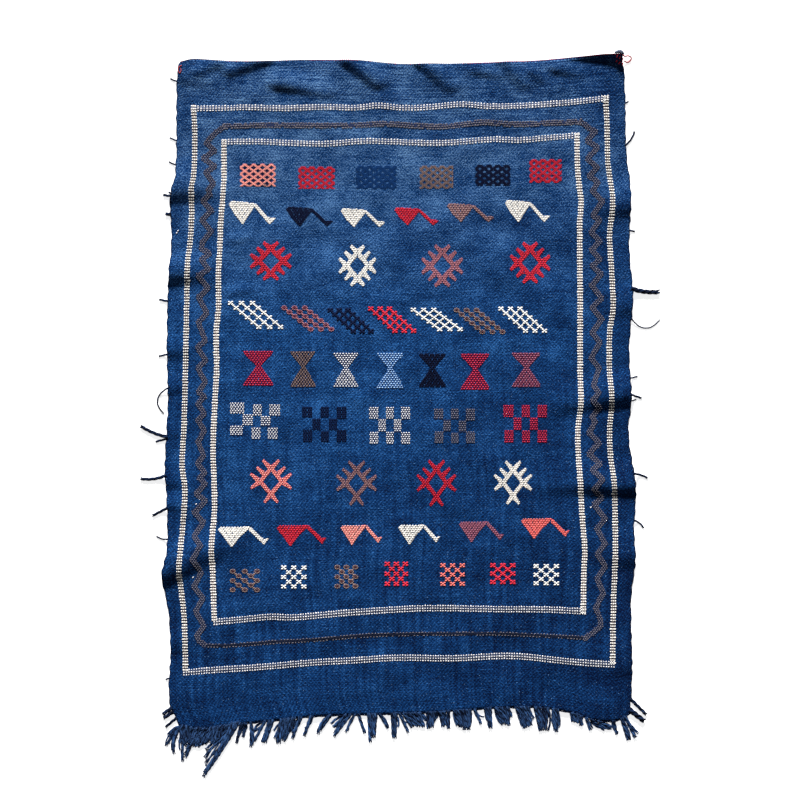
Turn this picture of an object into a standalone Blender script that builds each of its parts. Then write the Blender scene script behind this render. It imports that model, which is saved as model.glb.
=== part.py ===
"""A flat-woven wool rug lying on a floor.

The script works in metres with +Z up, +X to the right and +Y towards the hemmed end. The tables are in
millimetres, measured from the middle of the rug. The underside of the cloth rests on the plane z = 0,
and the origin is on it, in the middle of the rug.

Pieces: the cloth with its folds, a strip with the cut warp ends along the lower edge, a strip with loose
weft ends along each side, and the knotted thread loop at one corner of the hem.
"""
import math
import random
from collections import namedtuple

import bmesh
import bpy
from mathutils import Vector

MM = 0.001

# Cloth
CLOTH_THICKNESS = 3.0
COLUMNS = 30
COLUMN_CROWDING = 0.6
HEADING_ROWS = 9
HEADING_SHARE = 0.085
BODY_ROWS = 52
SMOOTH_UNDER_DEGREES = 40

# Strips of bound yarn that carry the loose ends, parted from the cloth's edge
PIECE_GAP = 0.3
FRINGE_STRIP_WIDTH = 6.0
SELVEDGE_WIDTH = 3.6
SELVEDGE_INSET = 20.0

# Loose yarn
STRAND_THICKNESS = 3.0
TIP_THICKNESS = 1.4
TIP_WIDTH = 1.6
FRINGE_ROOT_WIDTH = 5.4
ROOT_FILL = 0.8
OUTER_FACE_COSINE = 0.7
SHORT_STRAND = 26.0
SHORT_STRAND_STEPS = 2
LONG_STRAND_STEPS = 4
LEVEL_AFTER = 0.3
DROP_VARIATION = 0.14
FRINGE_SEED = 11

EdgePoint = namedtuple("EdgePoint", "along across")

# The outline, read clockwise: along is the coordinate that runs with the edge, across the one it moves in
HEM_EDGE = [
    EdgePoint(-481, 722), EdgePoint(-455, 728), EdgePoint(-395, 724), EdgePoint(-330, 722),
    EdgePoint(-200, 726), EdgePoint(-90, 724), EdgePoint(10, 717), EdgePoint(160, 719),
    EdgePoint(310, 725), EdgePoint(400, 733), EdgePoint(450, 737), EdgePoint(487, 737),
]
RIGHT_EDGE = [
    EdgePoint(737, 487), EdgePoint(700, 492), EdgePoint(640, 495), EdgePoint(530, 497),
    EdgePoint(435, 507), EdgePoint(310, 504), EdgePoint(210, 512), EdgePoint(95, 504),
    EdgePoint(-30, 508), EdgePoint(-90, 502), EdgePoint(-220, 518), EdgePoint(-310, 514),
    EdgePoint(-375, 517), EdgePoint(-460, 508), EdgePoint(-620, 510), EdgePoint(-711, 506),
]
FRINGE_EDGE = [
    EdgePoint(-485, -738), EdgePoint(-429, -744), EdgePoint(-363, -735), EdgePoint(-275, -726),
    EdgePoint(-176, -716), EdgePoint(0, -711), EdgePoint(132, -704), EdgePoint(220, -698),
    EdgePoint(308, -698), EdgePoint(374, -708), EdgePoint(418, -723), EdgePoint(455, -728),
    EdgePoint(490, -722), EdgePoint(506, -711),
]
LEFT_EDGE = [
    EdgePoint(722, -481), EdgePoint(708, -488), EdgePoint(634, -491), EdgePoint(475, -493),
    EdgePoint(422, -505), EdgePoint(330, -502), EdgePoint(220, -510), EdgePoint(75, -512),
    EdgePoint(-22, -510), EdgePoint(-176, -517), EdgePoint(-231, -513), EdgePoint(-352, -512),
    EdgePoint(-409, -523), EdgePoint(-480, -510), EdgePoint(-568, -504), EdgePoint(-682, -507),
    EdgePoint(-738, -485),
]

# Each fold is a soft ridge along a crest line, with its own half width and its height at both ends
Fold = namedtuple("Fold", "name start_x start_y end_x end_y half_width start_lift end_lift")
FOLDS = [
    Fold("left_shoulder", -520, 440, -395, 452, 80, 15, 0),
    Fold("left_upper", -520, 255, -405, 262, 56, 12, 0),
    Fold("left_middle", -520, 88, -450, 90, 40, 5, 0),
    Fold("left_centre", -520, 4, -460, 6, 34, 5, 0),
    Fold("left_pleat", -525, -92, -462, -92, 34, 4, 0),
    Fold("left_waist", -525, -202, -462, -202, 34, 5, 0),
    Fold("left_nick", -525, -253, -465, -250, 34, 5, 0),
    Fold("left_lower", -530, -402, -350, -318, 74, 16, 1),
    Fold("left_foot", -520, -560, -455, -556, 50, 5, 0),
    Fold("right_shoulder", 515, 408, 400, 402, 66, 9, 0),
    Fold("right_upper", 520, 188, 418, 178, 58, 8, 0),
    Fold("right_middle", 520, -4, 300, -40, 66, 15, 0),
    Fold("right_waist", 528, -206, 292, -208, 64, 14, 0),
    Fold("right_lower", 525, -360, 400, -362, 72, 8, 0),
    Fold("right_foot", 515, -600, 410, -604, 70, 6, 0),
    Fold("corner_curl", 372, 748, 506, 752, 58, 3, 17),
    Fold("hem_crease_1", -116, 724, -44, 655, 34, 6, 1),
    Fold("hem_crease_2", 72, 720, 134, 656, 34, 5, 1),
    Fold("hem_crease_3", 246, 722, 290, 656, 34, 5, 1),
    Fold("hem_crease_4", -292, 684, -184, 662, 32, 4, 1),
    Fold("hem_crease_5", -428, 724, -300, 716, 32, 4, 3),
    Fold("hem_crease_6", -480, 672, -410, 668, 34, 4, 1),
    Fold("hem_crease_7", 338, 710, 420, 704, 28, 3, 2),
]

# The cut warp ends: a row for each lock, from its left root to its right root, gathered at its tip
Lock = namedtuple("Lock", "left right strands tip drop spread bow")
FRINGE_LOCKS = [
    Lock(-482, -476, 1, -500, 50, 0, 12),
    Lock(-472, -466, 1, -478, 78, 0, 4),
    Lock(-462, -424, 4, -462, 34, 24, 2),
    Lock(-421, -381, 4, -410, 32, 34, 2),
    Lock(-366, -358, 1, -432, 102, 0, -2),
    Lock(-352, -346, 1, -360, 44, 0, 0),
    Lock(-343, -337, 1, -345, 32, 0, 0),
    Lock(-330, -324, 1, -328, 55, 0, 0),
    Lock(-300, -294, 1, -321, 45, 0, 0),
    Lock(-291, -276, 2, -299, 50, 8, 0),
    Lock(-265, -231, 4, -264, 50, 20, 0),
    Lock(-224, -217, 1, -237, 48, 0, 0),
    Lock(-199, -192, 1, -211, 44, 0, 0),
    Lock(-158, -151, 1, -181, 42, 0, 5),
    Lock(-122, -116, 1, -147, 28, 0, 0),
    Lock(-112, -106, 1, -146, 49, 0, 0),
    Lock(-103, -98, 1, -120, 40, 0, 0),
    Lock(-94, -88, 1, -77, 42, 0, 0),
    Lock(-72, -50, 3, -61, 58, 13, 0),
    Lock(-47, -41, 1, -26, 32, 0, 0),
    Lock(-20, -5, 2, -13, 50, 7, 0),
    Lock(-3, 3, 1, 19, 43, 0, 0),
    Lock(6, 46, 5, 40, 32, 33, 0),
    Lock(57, 81, 3, 66, 34, 12, 0),
    Lock(84, 111, 3, 101, 36, 18, 0),
    Lock(117, 156, 5, 142, 41, 22, 0),
    Lock(162, 168, 1, 179, 34, 0, 0),
    Lock(187, 202, 2, 199, 42, 6, 0),
    Lock(206, 240, 4, 233, 37, 18, 0),
    Lock(252, 287, 4, 279, 44, 24, 0),
    Lock(293, 330, 4, 314, 50, 14, 0),
    Lock(334, 348, 2, 343, 52, 6, 0),
    Lock(374, 402, 4, 389, 22, 24, 0),
    Lock(407, 413, 1, 419, 28, 0, 0),
    Lock(419, 425, 1, 450, 24, 0, 0),
    Lock(434, 440, 1, 466, 17, 0, 0),
    Lock(467, 473, 1, 477, 31, 0, 0),
    Lock(484, 500, 2, 510, 45, 32, 0),
]

# Loose weft ends: a row for each, from its root on a side to its tip, bowed sideways by so much
WeftEnd = namedtuple("WeftEnd", "root_y tip_x tip_y bow width")
LEFT_ENDS = [
    WeftEnd(678, -506, 685, 0, 3.0),
    WeftEnd(548, -507, 555, 0, 3.0),
    WeftEnd(494, -509, 502, 0, 3.0),
    WeftEnd(426, -521, 429, 0, 4.5),
    WeftEnd(386, -516, 387, 0, 6.0),
    WeftEnd(195, -530, 199, 0, 4.0),
    WeftEnd(78, -531, 74, 0, 3.5),
    WeftEnd(4, -519, -53, 19, 3.0),
    WeftEnd(-103, -571, -79, -3, 6.0),
    WeftEnd(-189, -571, -195, -4, 5.5),
    WeftEnd(-260, -545, -277, 0, 5.0),
    WeftEnd(-328, -536, -321, -3, 3.0),
    WeftEnd(-634, -516, -637, 0, 3.0),
    WeftEnd(-700, -524, -710, 0, 4.5),
    WeftEnd(-712, -523, -725, 0, 5.0),
]
RIGHT_ENDS = [
    WeftEnd(631, 503, 635, 0, 3.0),
    WeftEnd(539, 516, 570, 3, 5.0),
    WeftEnd(351, 517, 349, 0, 3.5),
    WeftEnd(222, 571, 216, 3, 8.0),
    WeftEnd(157, 572, 155, 20, 2.6),
    WeftEnd(26, 523, 30, 0, 3.0),
    WeftEnd(-10, 532, -18, 0, 4.0),
    WeftEnd(-184, 545, -194, -2, 4.0),
    WeftEnd(-287, 536, -304, -3, 3.5),
    WeftEnd(-680, 542, -714, 0, 6.0),
]

# The thread at the hem's corner: a wound knot, then a loop; radius is the thread's or the knot's
ThreadPoint = namedtuple("ThreadPoint", "x y radius")
CORNER_THREAD = [
    ThreadPoint(472, 742.6, 2.4), ThreadPoint(479, 743.4, 4.6), ThreadPoint(486, 743.0, 4.2),
    ThreadPoint(492, 739.0, 1.6), ThreadPoint(494, 733.0, 1.1), ThreadPoint(501, 734.6, 1.1),
    ThreadPoint(507, 732.5, 1.1), ThreadPoint(508.5, 728.0, 1.1), ThreadPoint(504, 722.0, 1.1),
    ThreadPoint(499, 720.6, 1.1), ThreadPoint(494.6, 723.4, 1.1),
]
THREAD_STEPS = 3
THREAD_BEVEL_RESOLUTION = 2

# Finish: base colour, roughness
Finish = namedtuple("Finish", "colour roughness")
BLUE_WOOL = Finish((0.012, 0.045, 0.16, 1.0), 0.92)
BLUE_YARN = Finish((0.010, 0.035, 0.13, 1.0), 0.90)
DARK_YARN = Finish((0.006, 0.014, 0.05, 1.0), 0.90)
RED_THREAD = Finish((0.42, 0.03, 0.06, 1.0), 0.80)


def clear_scene():
    for item in list(bpy.data.objects):
        bpy.data.objects.remove(item, do_unlink=True)


def make_material(name, finish):
    material = bpy.data.materials.new(name)
    material.use_nodes = True
    shader = material.node_tree.nodes["Principled BSDF"]
    shader.inputs["Base Color"].default_value = finish.colour
    shader.inputs["Roughness"].default_value = finish.roughness
    shader.inputs["Metallic"].default_value = 0.0
    return material


def add_mesh_object(name, mesh_builder, collection, finish):
    """Writes a bmesh into a new object with a material of its own."""
    mesh = bpy.data.meshes.new(name)
    bmesh.ops.recalc_face_normals(mesh_builder, faces=mesh_builder.faces)
    mesh_builder.to_mesh(mesh)
    mesh_builder.free()
    mesh.materials.append(make_material(name + "_finish", finish))
    item = bpy.data.objects.new(name, mesh)
    collection.objects.link(item)
    return item


def slope_at(points, index):
    """Slope of the smooth line through the points, at one of them."""
    before = points[max(index - 1, 0)]
    after = points[min(index + 1, len(points) - 1)]
    return (after.across - before.across) / (after.along - before.along)


def edge_at(points, along):
    """Reads a smooth line through an edge's points."""
    rising = points[-1].along > points[0].along
    index = 0
    while index < len(points) - 2 and (along > points[index + 1].along) == rising:
        index += 1
    low = points[index]
    high = points[index + 1]
    span = high.along - low.along
    t = (along - low.along) / span
    hold_low = (1 + 2 * t) * (1 - t) ** 2
    hold_high = t * t * (3 - 2 * t)
    lean_low = t * (1 - t) ** 2
    lean_high = t * t * (t - 1)
    return (hold_low * low.across + hold_high * high.across
            + span * (lean_low * slope_at(points, index) + lean_high * slope_at(points, index + 1)))


def between(low, high, share):
    return low + (high - low) * share


def on_level_edge(points, share):
    """A point of the hem or the fringe edge, by its share from left to right."""
    x = between(points[0].along, points[-1].along, share)
    return Vector((x, edge_at(points, x)))


def on_side_edge(points, share):
    """A point of a side edge, by its share from the hem down."""
    y = between(points[0].along, points[-1].along, share)
    return Vector((edge_at(points, y), y))


def place_on_cloth(u, v):
    """Blends the four edges: u runs from the left side to the right, v from the hem to the fringe."""
    hem = on_level_edge(HEM_EDGE, u)
    fringe = on_level_edge(FRINGE_EDGE, u)
    left = on_side_edge(LEFT_EDGE, v)
    right = on_side_edge(RIGHT_EDGE, v)
    top_left = on_level_edge(HEM_EDGE, 0)
    top_right = on_level_edge(HEM_EDGE, 1)
    low_left = on_level_edge(FRINGE_EDGE, 0)
    low_right = on_level_edge(FRINGE_EDGE, 1)
    lengthwise = hem * (1 - v) + fringe * v
    crosswise = left * (1 - u) + right * u
    corners = ((top_left * (1 - u) + top_right * u) * (1 - v)
               + (low_left * (1 - u) + low_right * u) * v)
    return lengthwise + crosswise - corners


def lift_at(x, y):
    """Height of the cloth's underside over the floor, from all the folds."""
    lift = 0.0
    for fold in FOLDS:
        start = Vector((fold.start_x, fold.start_y))
        crest = Vector((fold.end_x, fold.end_y)) - start
        offset = Vector((x, y)) - start
        share = min(max(offset.dot(crest) / crest.length_squared, 0.0), 1.0)
        distance = (offset - crest * share).length / fold.half_width
        if distance < 1.0:
            lift += between(fold.start_lift, fold.end_lift, share) * (1 - distance ** 2) ** 2
    return lift


def column_shares():
    """Columns stand closer together towards the sides, where the folds are."""
    shares = []
    for step in range(COLUMNS + 1):
        even = step / COLUMNS
        crowded = 0.5 - 0.5 * math.cos(math.pi * even)
        shares.append(between(even, crowded, COLUMN_CROWDING))
    return shares


def row_shares():
    """Rows stand closer together along the hem, where the creases are."""
    heading = [HEADING_SHARE * step / HEADING_ROWS for step in range(HEADING_ROWS)]
    body = [between(HEADING_SHARE, 1.0, step / BODY_ROWS) for step in range(BODY_ROWS + 1)]
    return heading + body


def raise_by_thickness(mesh_builder, thickness):
    """Gives an open sheet its thickness, straight up, so that its rim stays upright."""
    sheet = list(mesh_builder.faces) + list(mesh_builder.edges) + list(mesh_builder.verts)
    raised = bmesh.ops.extrude_face_region(mesh_builder, geom=sheet)["geom"]
    upper = [item for item in raised if isinstance(item, bmesh.types.BMVert)]
    bmesh.ops.translate(mesh_builder, verts=upper, vec=(0, 0, thickness * MM))
    return upper


def build_cloth(collection):
    columns = column_shares()
    rows = row_shares()
    cloth = bmesh.new()
    bmesh.ops.create_grid(cloth, x_segments=len(columns) - 1, y_segments=len(rows) - 1, size=0.5)
    for vertex in cloth.verts:
        u = columns[round((vertex.co.x + 0.5) * (len(columns) - 1))]
        v = rows[round((0.5 - vertex.co.y) * (len(rows) - 1))]
        place = place_on_cloth(u, v)
        vertex.co = Vector((place.x, place.y, lift_at(place.x, place.y))) * MM
    raise_by_thickness(cloth, CLOTH_THICKNESS)
    item = add_mesh_object("rug_cloth", cloth, collection, BLUE_WOOL)
    item.data.shade_smooth()
    item.data.set_sharp_from_angle(angle=math.radians(SMOOTH_UNDER_DEGREES))


Strand = namedtuple("Strand", "root width path")


def strand_path(root, tip, bow):
    """Points from just outside the root to the tip, bowed sideways."""
    run = tip - root
    sideways = Vector((run.y, -run.x)).normalized()
    steps = SHORT_STRAND_STEPS if run.length < SHORT_STRAND else LONG_STRAND_STEPS
    shares = [step / steps for step in range(1, steps + 1)]
    return [root + run * t + sideways * (bow * 4 * t * (1 - t)) for t in shares]


def fringe_strands():
    """Spreads the strands of every lock along the fringe edge."""
    varied = random.Random(FRINGE_SEED)
    strands = []
    for lock in FRINGE_LOCKS:
        pitch = (lock.right - lock.left) / lock.strands
        width = min(FRINGE_ROOT_WIDTH, pitch * ROOT_FILL)
        for order in range(lock.strands):
            root_x = lock.left + pitch * (order + 0.5)
            side = (order + 0.5) / lock.strands - 0.5
            variation = varied.uniform(-DROP_VARIATION, DROP_VARIATION) if lock.strands > 1 else 0.0
            drop = lock.drop * (1 + variation)
            root = Vector((root_x, edge_at(FRINGE_EDGE, root_x) - FRINGE_STRIP_WIDTH))
            tip = Vector((lock.tip + lock.spread * side, root.y + FRINGE_STRIP_WIDTH - drop))
            strands.append(Strand(root_x, width, strand_path(root, tip, lock.bow)))
    return strands


def side_strands(ends, edge, outward):
    """The loose weft ends of one side, whose roots are placed by their distance along it."""
    strands = []
    for end in ends:
        root = Vector((edge_at(edge, end.root_y) + outward * SELVEDGE_WIDTH, end.root_y))
        tip = Vector((end.tip_x, end.tip_y))
        strands.append(Strand(end.root_y, end.width, strand_path(root, tip, end.bow)))
    return strands


def on_facets(corners, axis, along):
    """A point on the straight facets between the cloth's own rim points."""
    ordered = sorted(corners, key=lambda corner: corner[axis])
    for low, high in zip(ordered, ordered[1:]):
        if along <= high[axis]:
            return low.lerp(high, (along - low[axis]) / (high[axis] - low[axis]))
    return ordered[-1].copy()


def rim_point(place):
    return Vector((place.x, place.y, lift_at(place.x, place.y)))


def build_strip(name, collection, finish, rim, axis, outward, width, strands):
    """Makes a narrow strip along the cloth's rim, and draws each strand out of its outer side.

    The strip bends only where the cloth's rim does, so that the gap between them stays even.
    """
    roots = [(strand.root - strand.width / 2, strand.root + strand.width / 2) for strand in strands]
    bends = [corner[axis] for corner in rim]
    clear_bends = [bend for bend in bends if not any(low < bend < high for low, high in roots)]
    stations = sorted(clear_bends + [end for root in roots for end in root])

    strip = bmesh.new()
    inner_line = [on_facets(rim, axis, along) + outward * PIECE_GAP for along in stations]
    inner = [strip.verts.new(point * MM) for point in inner_line]
    edges = [strip.edges.new(pair) for pair in zip(inner, inner[1:])]
    widened = bmesh.ops.extrude_edge_only(strip, edges=edges)["geom"]
    outer = [item for item in widened if isinstance(item, bmesh.types.BMVert)]
    bmesh.ops.translate(strip, verts=outer, vec=outward * width * MM)
    raise_by_thickness(strip, STRAND_THICKNESS)
    bmesh.ops.recalc_face_normals(strip, faces=strip.faces)
    strip.faces.ensure_lookup_table()

    sides = [face for face in strip.faces if face.normal.dot(outward) > OUTER_FACE_COSINE]
    root_faces = [next(face for face in sides if low < face.calc_center_median()[axis] / MM < high)
                  for low, high in roots]
    for strand, root_face in zip(strands, root_faces):
        draw_strand(strip, root_face, strand)
    add_mesh_object(name, strip, collection, finish)


def draw_strand(strip, root_face, strand):
    """Extrudes a face of the strip along a strand's path, tapering it and laying it on the floor."""
    face = root_face
    centre = root_face.calc_center_median()
    floor_lift = min(corner.co.z for corner in root_face.verts) / MM
    left_side = Vector((-root_face.normal.y, root_face.normal.x))
    is_left = [(corner.co - centre).xy.dot(left_side) > 0 for corner in root_face.verts]
    is_high = [corner.co.z > centre.z for corner in root_face.verts]
    places = [centre.xy / MM] + strand.path
    tangents = [(after - before).normalized() for before, after in zip(places, places[1:])]
    for step, point in enumerate(strand.path):
        share = (step + 1) / len(strand.path)
        ahead = tangents[min(step + 1, len(tangents) - 1)]
        heading = (tangents[step] + ahead).normalized()
        side = Vector((-heading.y, heading.x))
        half = between(strand.width, TIP_WIDTH, share) / 2
        thickness = between(STRAND_THICKNESS, TIP_THICKNESS, share)
        low = floor_lift * max(0.0, 1 - share / LEVEL_AFTER)
        face = bmesh.ops.extrude_discrete_faces(strip, faces=[face])["faces"][0]
        for corner, left, high in zip(face.verts, is_left, is_high):
            place = point + side * (half if left else -half)
            corner.co = Vector((place.x, place.y, low + (thickness if high else 0.0))) * MM


def build_fringe(collection):
    rim = [rim_point(place_on_cloth(u, 1.0)) for u in column_shares()]
    build_strip("fringe", collection, BLUE_YARN, rim, 0, Vector((0, -1, 0)), FRINGE_STRIP_WIDTH,
                fringe_strands())


def build_side(name, collection, u, edge, ends, outward):
    rim = [rim_point(place_on_cloth(u, v)) for v in row_shares()]
    highest = max(corner.y for corner in rim) - SELVEDGE_INSET
    lowest = min(corner.y for corner in rim) + SELVEDGE_INSET
    inside = [corner for corner in rim if lowest < corner.y < highest]
    build_strip(name, collection, DARK_YARN, inside, 1, Vector((outward, 0, 0)), SELVEDGE_WIDTH,
                side_strands(ends, edge, outward))


def build_corner_loop(collection):
    """A knot just outside the hem's corner, whose thread goes round in a loop beside it."""
    curve = bpy.data.curves.new("corner_loop", "CURVE")
    curve.dimensions = "3D"
    curve.bevel_depth = MM
    curve.bevel_resolution = THREAD_BEVEL_RESOLUTION
    curve.use_fill_caps = True
    places = smooth_thread()
    spline = curve.splines.new("POLY")
    spline.points.add(len(places) - 1)
    for point, (x, y, radius) in zip(spline.points, places):
        point.co = (x * MM, y * MM, radius * MM, 1.0)
        point.radius = radius
    curve.materials.append(make_material("corner_loop_finish", RED_THREAD))
    collection.objects.link(bpy.data.objects.new("corner_loop", curve))


def smooth_thread():
    """Reads a smooth curve through the thread's points, with its radius."""
    count = len(CORNER_THREAD)
    places = []
    for index in range(count - 1):
        around = [CORNER_THREAD[min(max(index + shift, 0), count - 1)] for shift in (-1, 0, 1, 2)]
        steps = THREAD_STEPS + (index == count - 2)
        for step in range(steps):
            t = step / THREAD_STEPS
            places.append([smooth_between([point[part] for point in around], t) for part in range(3)])
    return places


def smooth_between(values, t):
    before, low, high, after = values
    lean_low = (high - before) / 2
    lean_high = (after - low) / 2
    return ((1 + 2 * t) * (1 - t) ** 2 * low + t * t * (3 - 2 * t) * high
            + t * (1 - t) ** 2 * lean_low + t * t * (t - 1) * lean_high)


def main():
    clear_scene()
    rug = bpy.data.collections.new("berber_rug")
    bpy.context.scene.collection.children.link(rug)
    build_cloth(rug)
    build_fringe(rug)
    build_side("left_ends", rug, 0.0, LEFT_EDGE, LEFT_ENDS, -1)
    build_side("right_ends", rug, 1.0, RIGHT_EDGE, RIGHT_ENDS, 1)
    build_corner_loop(rug)


main()
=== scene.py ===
"""The looks of a flat-woven wool rug: its cloth, brocade, borders, sewing, fringe and loose ends.

The tables are in millimetres, measured from the middle of the rug, with +X to the right and +Y towards
the hemmed end. Meshes are written in metres.
"""
import math
import random
from collections import namedtuple

import bpy
import numpy as np
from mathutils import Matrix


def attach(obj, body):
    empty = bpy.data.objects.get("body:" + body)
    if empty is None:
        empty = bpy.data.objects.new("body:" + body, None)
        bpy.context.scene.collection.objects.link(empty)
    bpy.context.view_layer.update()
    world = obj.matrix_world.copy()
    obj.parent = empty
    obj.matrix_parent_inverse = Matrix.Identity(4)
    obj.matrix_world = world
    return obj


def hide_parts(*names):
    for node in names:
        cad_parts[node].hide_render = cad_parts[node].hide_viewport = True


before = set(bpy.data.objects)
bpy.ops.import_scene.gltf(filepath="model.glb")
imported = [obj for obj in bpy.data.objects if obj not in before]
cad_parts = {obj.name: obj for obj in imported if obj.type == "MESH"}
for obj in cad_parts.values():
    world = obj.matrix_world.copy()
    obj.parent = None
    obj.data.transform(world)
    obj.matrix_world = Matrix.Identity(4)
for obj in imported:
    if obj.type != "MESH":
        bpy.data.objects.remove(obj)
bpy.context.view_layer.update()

MM = 0.001
UP = np.array((0.0, 0.0, 1.0))

# Camera and light. PIXEL is the size of one of the photo's pixels
PIXEL = 2.2
IMAGE_SIDE = 800
VIEW_CENTRE_Y = -22.0
CAMERA_HEIGHT = 6000.0
SENSOR = 36.0
KEY_ELEVATION = 25.0
KEY_AZIMUTH = 4.0
KEY_STRENGTH = 7.0
KEY_ANGLE = 10.0
FILL_STRENGTH = 0.08
FILL_COLOUR = (0.92, 0.96, 1.0, 1.0)
FLOOR_SIDE = 9000.0
FLOOR_DROP = 0.4
FLOOR_GREYS = ((0.93, 0.93, 0.93, 1.0), (0.95, 0.95, 0.95, 1.0))
FLOOR_GLOW = 0.8

# Cloth: its grid, how far it reaches past the tables' outline, and its size laid flat, in metres
THICKNESS = 2.6
CELLS_ACROSS = 164
CELLS_ALONG = 234
SIDE_MARGIN = 0.2
FRINGE_MARGIN = 1.0
FLAT_WIDTH = 1.02
FLAT_LENGTH = 1.46

# The small bumps of the sides: their heights and lengths, and the length over which they drift
BROAD_BUMP = 0.9
BROAD_BUMP_LENGTH = 5.7
BUMP_DRIFT = 31.0
FINE_BUMP = 0.6
FINE_BUMP_LENGTH = 3.1

EdgePoint = namedtuple("EdgePoint", "along across")


def edge_points(*pairs):
    return [EdgePoint(*pair) for pair in pairs]


# The outline, read clockwise: along is the coordinate that runs with the edge, across the one it moves in
HEM_EDGE = edge_points(
    (-481, 722), (-455, 728), (-395, 724), (-330, 722), (-200, 726), (-90, 724), (10, 717), (160, 719),
    (310, 725), (400, 733), (450, 737), (487, 737))
RIGHT_EDGE = edge_points(
    (737, 487), (700, 492), (640, 495), (530, 497), (435, 507), (310, 504), (210, 512), (95, 504),
    (-30, 508), (-90, 502), (-220, 518), (-310, 514), (-375, 517), (-460, 508), (-620, 510), (-711, 506))
FRINGE_EDGE = edge_points(
    (-485, -738), (-429, -744), (-363, -735), (-275, -726), (-176, -716), (0, -711), (132, -704),
    (220, -698), (308, -698), (374, -708), (418, -723), (455, -728), (490, -722), (506, -711))
LEFT_EDGE = edge_points(
    (722, -481), (708, -488), (634, -491), (475, -493), (422, -505), (330, -502), (220, -510), (75, -512),
    (-22, -510), (-176, -517), (-231, -513), (-352, -512), (-409, -523), (-480, -510), (-568, -504),
    (-682, -507), (-738, -485))

# Each fold is a soft ridge along a crest line that starts at its first height and ends at its second. steep
# is how much narrower it is towards the fringe end
Fold = namedtuple("Fold", "start_x start_y end_x end_y half_width start_lift end_lift steep")
FOLDS = [Fold(*row) for row in (
    (-520, 440, -395, 452, 80, 15, 0, 0.50), (-520, 255, -405, 262, 56, 12, 0, 0.45),
    (-520, 88, -450, 90, 40, 5, 0, 0.40), (-520, 4, -460, 6, 34, 5, 0, 0.40),
    (-525, -92, -462, -92, 34, 4, 0, 0.40), (-525, -202, -462, -202, 34, 5, 0, 0.40),
    (-525, -253, -465, -250, 34, 5, 0, 0.40), (-530, -402, -350, -318, 74, 16, 1, 0.50),
    (-520, -560, -455, -556, 50, 5, 0, 0.40), (515, 408, 400, 402, 66, 9, 0, 0.45),
    (520, 188, 418, 178, 58, 8, 0, 0.45), (520, -4, 300, -40, 66, 15, 0, 0.50),
    (528, -206, 292, -208, 64, 14, 0, 0.50), (525, -360, 400, -362, 72, 8, 0, 0.45),
    (515, -600, 410, -604, 70, 6, 0, 0.45), (366, 741, 500, 742, 17, 8, 23, 0),
    (-108, 724, -50, 676, 42, 11, 7, 0.58), (54, 720, 108, 668, 38, 9.5, 5, 0.55),
    (236, 720, 272, 672, 34, 8, 4, 0.55), (170, 702, 216, 694, 28, 5.5, 3, 0.45),
    (-266, 674, -166, 656, 42, 8, 4, 0.55), (-442, 700, -400, 718, 28, 5, 6, 0.50),
    (-372, 702, -300, 728, 34, 7, 8, 0.50), (-488, 690, -440, 684, 40, 5, 2, 0.45),
    (294, 700, 308, 682, 24, 6, 3, 0.45), (344, 706, 392, 696, 30, 6.5, 3, 0.45),
    (-364, 330, -340, 336, 26, 3, 2, 0.40), (-368, 214, -340, 220, 24, 3, 2, 0.40))]

# A power over 1 lets a fold keep its first height along its crest before it falls
FOLD_HOLD = 1.8

# Broad, very low waves that keep the cloth from lying dead flat: their number, shortest and longest length,
# height, and how many heights they are raised by before what is under the floor is cut off
WAVE_SEED = 5
WAVES = 26
WAVE_LENGTHS = (46.0, 150.0)
WAVE_HEIGHT = 1.3
WAVE_RAISE = 2.2

# The border's lines, read from left to right or from the hem down
OUTER_TOP = edge_points(
    (-457, 619), (-392, 619), (-339, 621), (-260, 619), (-154, 622), (-101, 620), (-48, 625), (4, 620),
    (57, 621), (136, 628), (202, 623), (321, 628), (374, 632), (420, 637), (457, 642))
INNER_TOP = edge_points(
    (-390, 545), (-321, 546), (-216, 542), (-163, 541), (-70, 547), (48, 543), (101, 543), (207, 551),
    (260, 549), (312, 553), (392, 560))
INNER_BOTTOM = edge_points(
    (-408, -510), (-339, -504), (-286, -499), (-233, -500), (-128, -491), (4, -482), (84, -480),
    (216, -482), (321, -483), (407, -487))
OUTER_BOTTOM = edge_points(
    (-475, -621), (-409, -616), (-304, -609), (-198, -600), (-92, -594), (-13, -589), (119, -590),
    (224, -585), (277, -587), (383, -598), (436, -602), (470, -603))
BROWN_TOP = edge_points(
    (-389, 579), (-312, 582), (-189, 581), (-97, 582), (-35, 585), (26, 581), (88, 579), (180, 588),
    (242, 584), (334, 587), (395, 590))
BROWN_BOTTOM = edge_points(
    (-427, -562), (-387, -562), (-339, -559), (-277, -554), (-216, -551), (-154, -546), (-92, -541),
    (0, -537), (123, -536), (216, -536), (308, -540), (370, -543), (405, -546))
OUTER_LEFT = edge_points(
    (624, -454), (563, -451), (471, -453), (444, -458), (392, -458), (339, -460), (286, -466),
    (233, -468), (75, -471), (-84, -475), (-163, -479), (-216, -473), (-295, -477), (-400, -485),
    (-453, -479), (-506, -474), (-585, -472), (-616, -472))
INNER_LEFT = edge_points(
    (548, -387), (471, -387), (418, -390), (365, -394), (312, -396), (260, -399), (180, -399),
    (128, -404), (48, -403), (-31, -407), (-136, -411), (-189, -409), (-268, -408), (-348, -414),
    (-400, -412), (-506, -408))
INNER_RIGHT = edge_points(
    (562, 389), (493, 390), (440, 395), (414, 398), (361, 395), (202, 396), (44, 396), (-35, 397),
    (-88, 391), (-141, 392), (-220, 397), (-273, 400), (-352, 406), (-405, 404), (-490, 403))
OUTER_RIGHT = edge_points(
    (644, 452), (576, 455), (497, 457), (418, 467), (339, 461), (260, 465), (180, 468), (128, 461),
    (48, 460), (-31, 465), (-84, 461), (-136, 462), (-216, 471), (-321, 473), (-400, 472), (-480, 469),
    (-600, 467))

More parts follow.
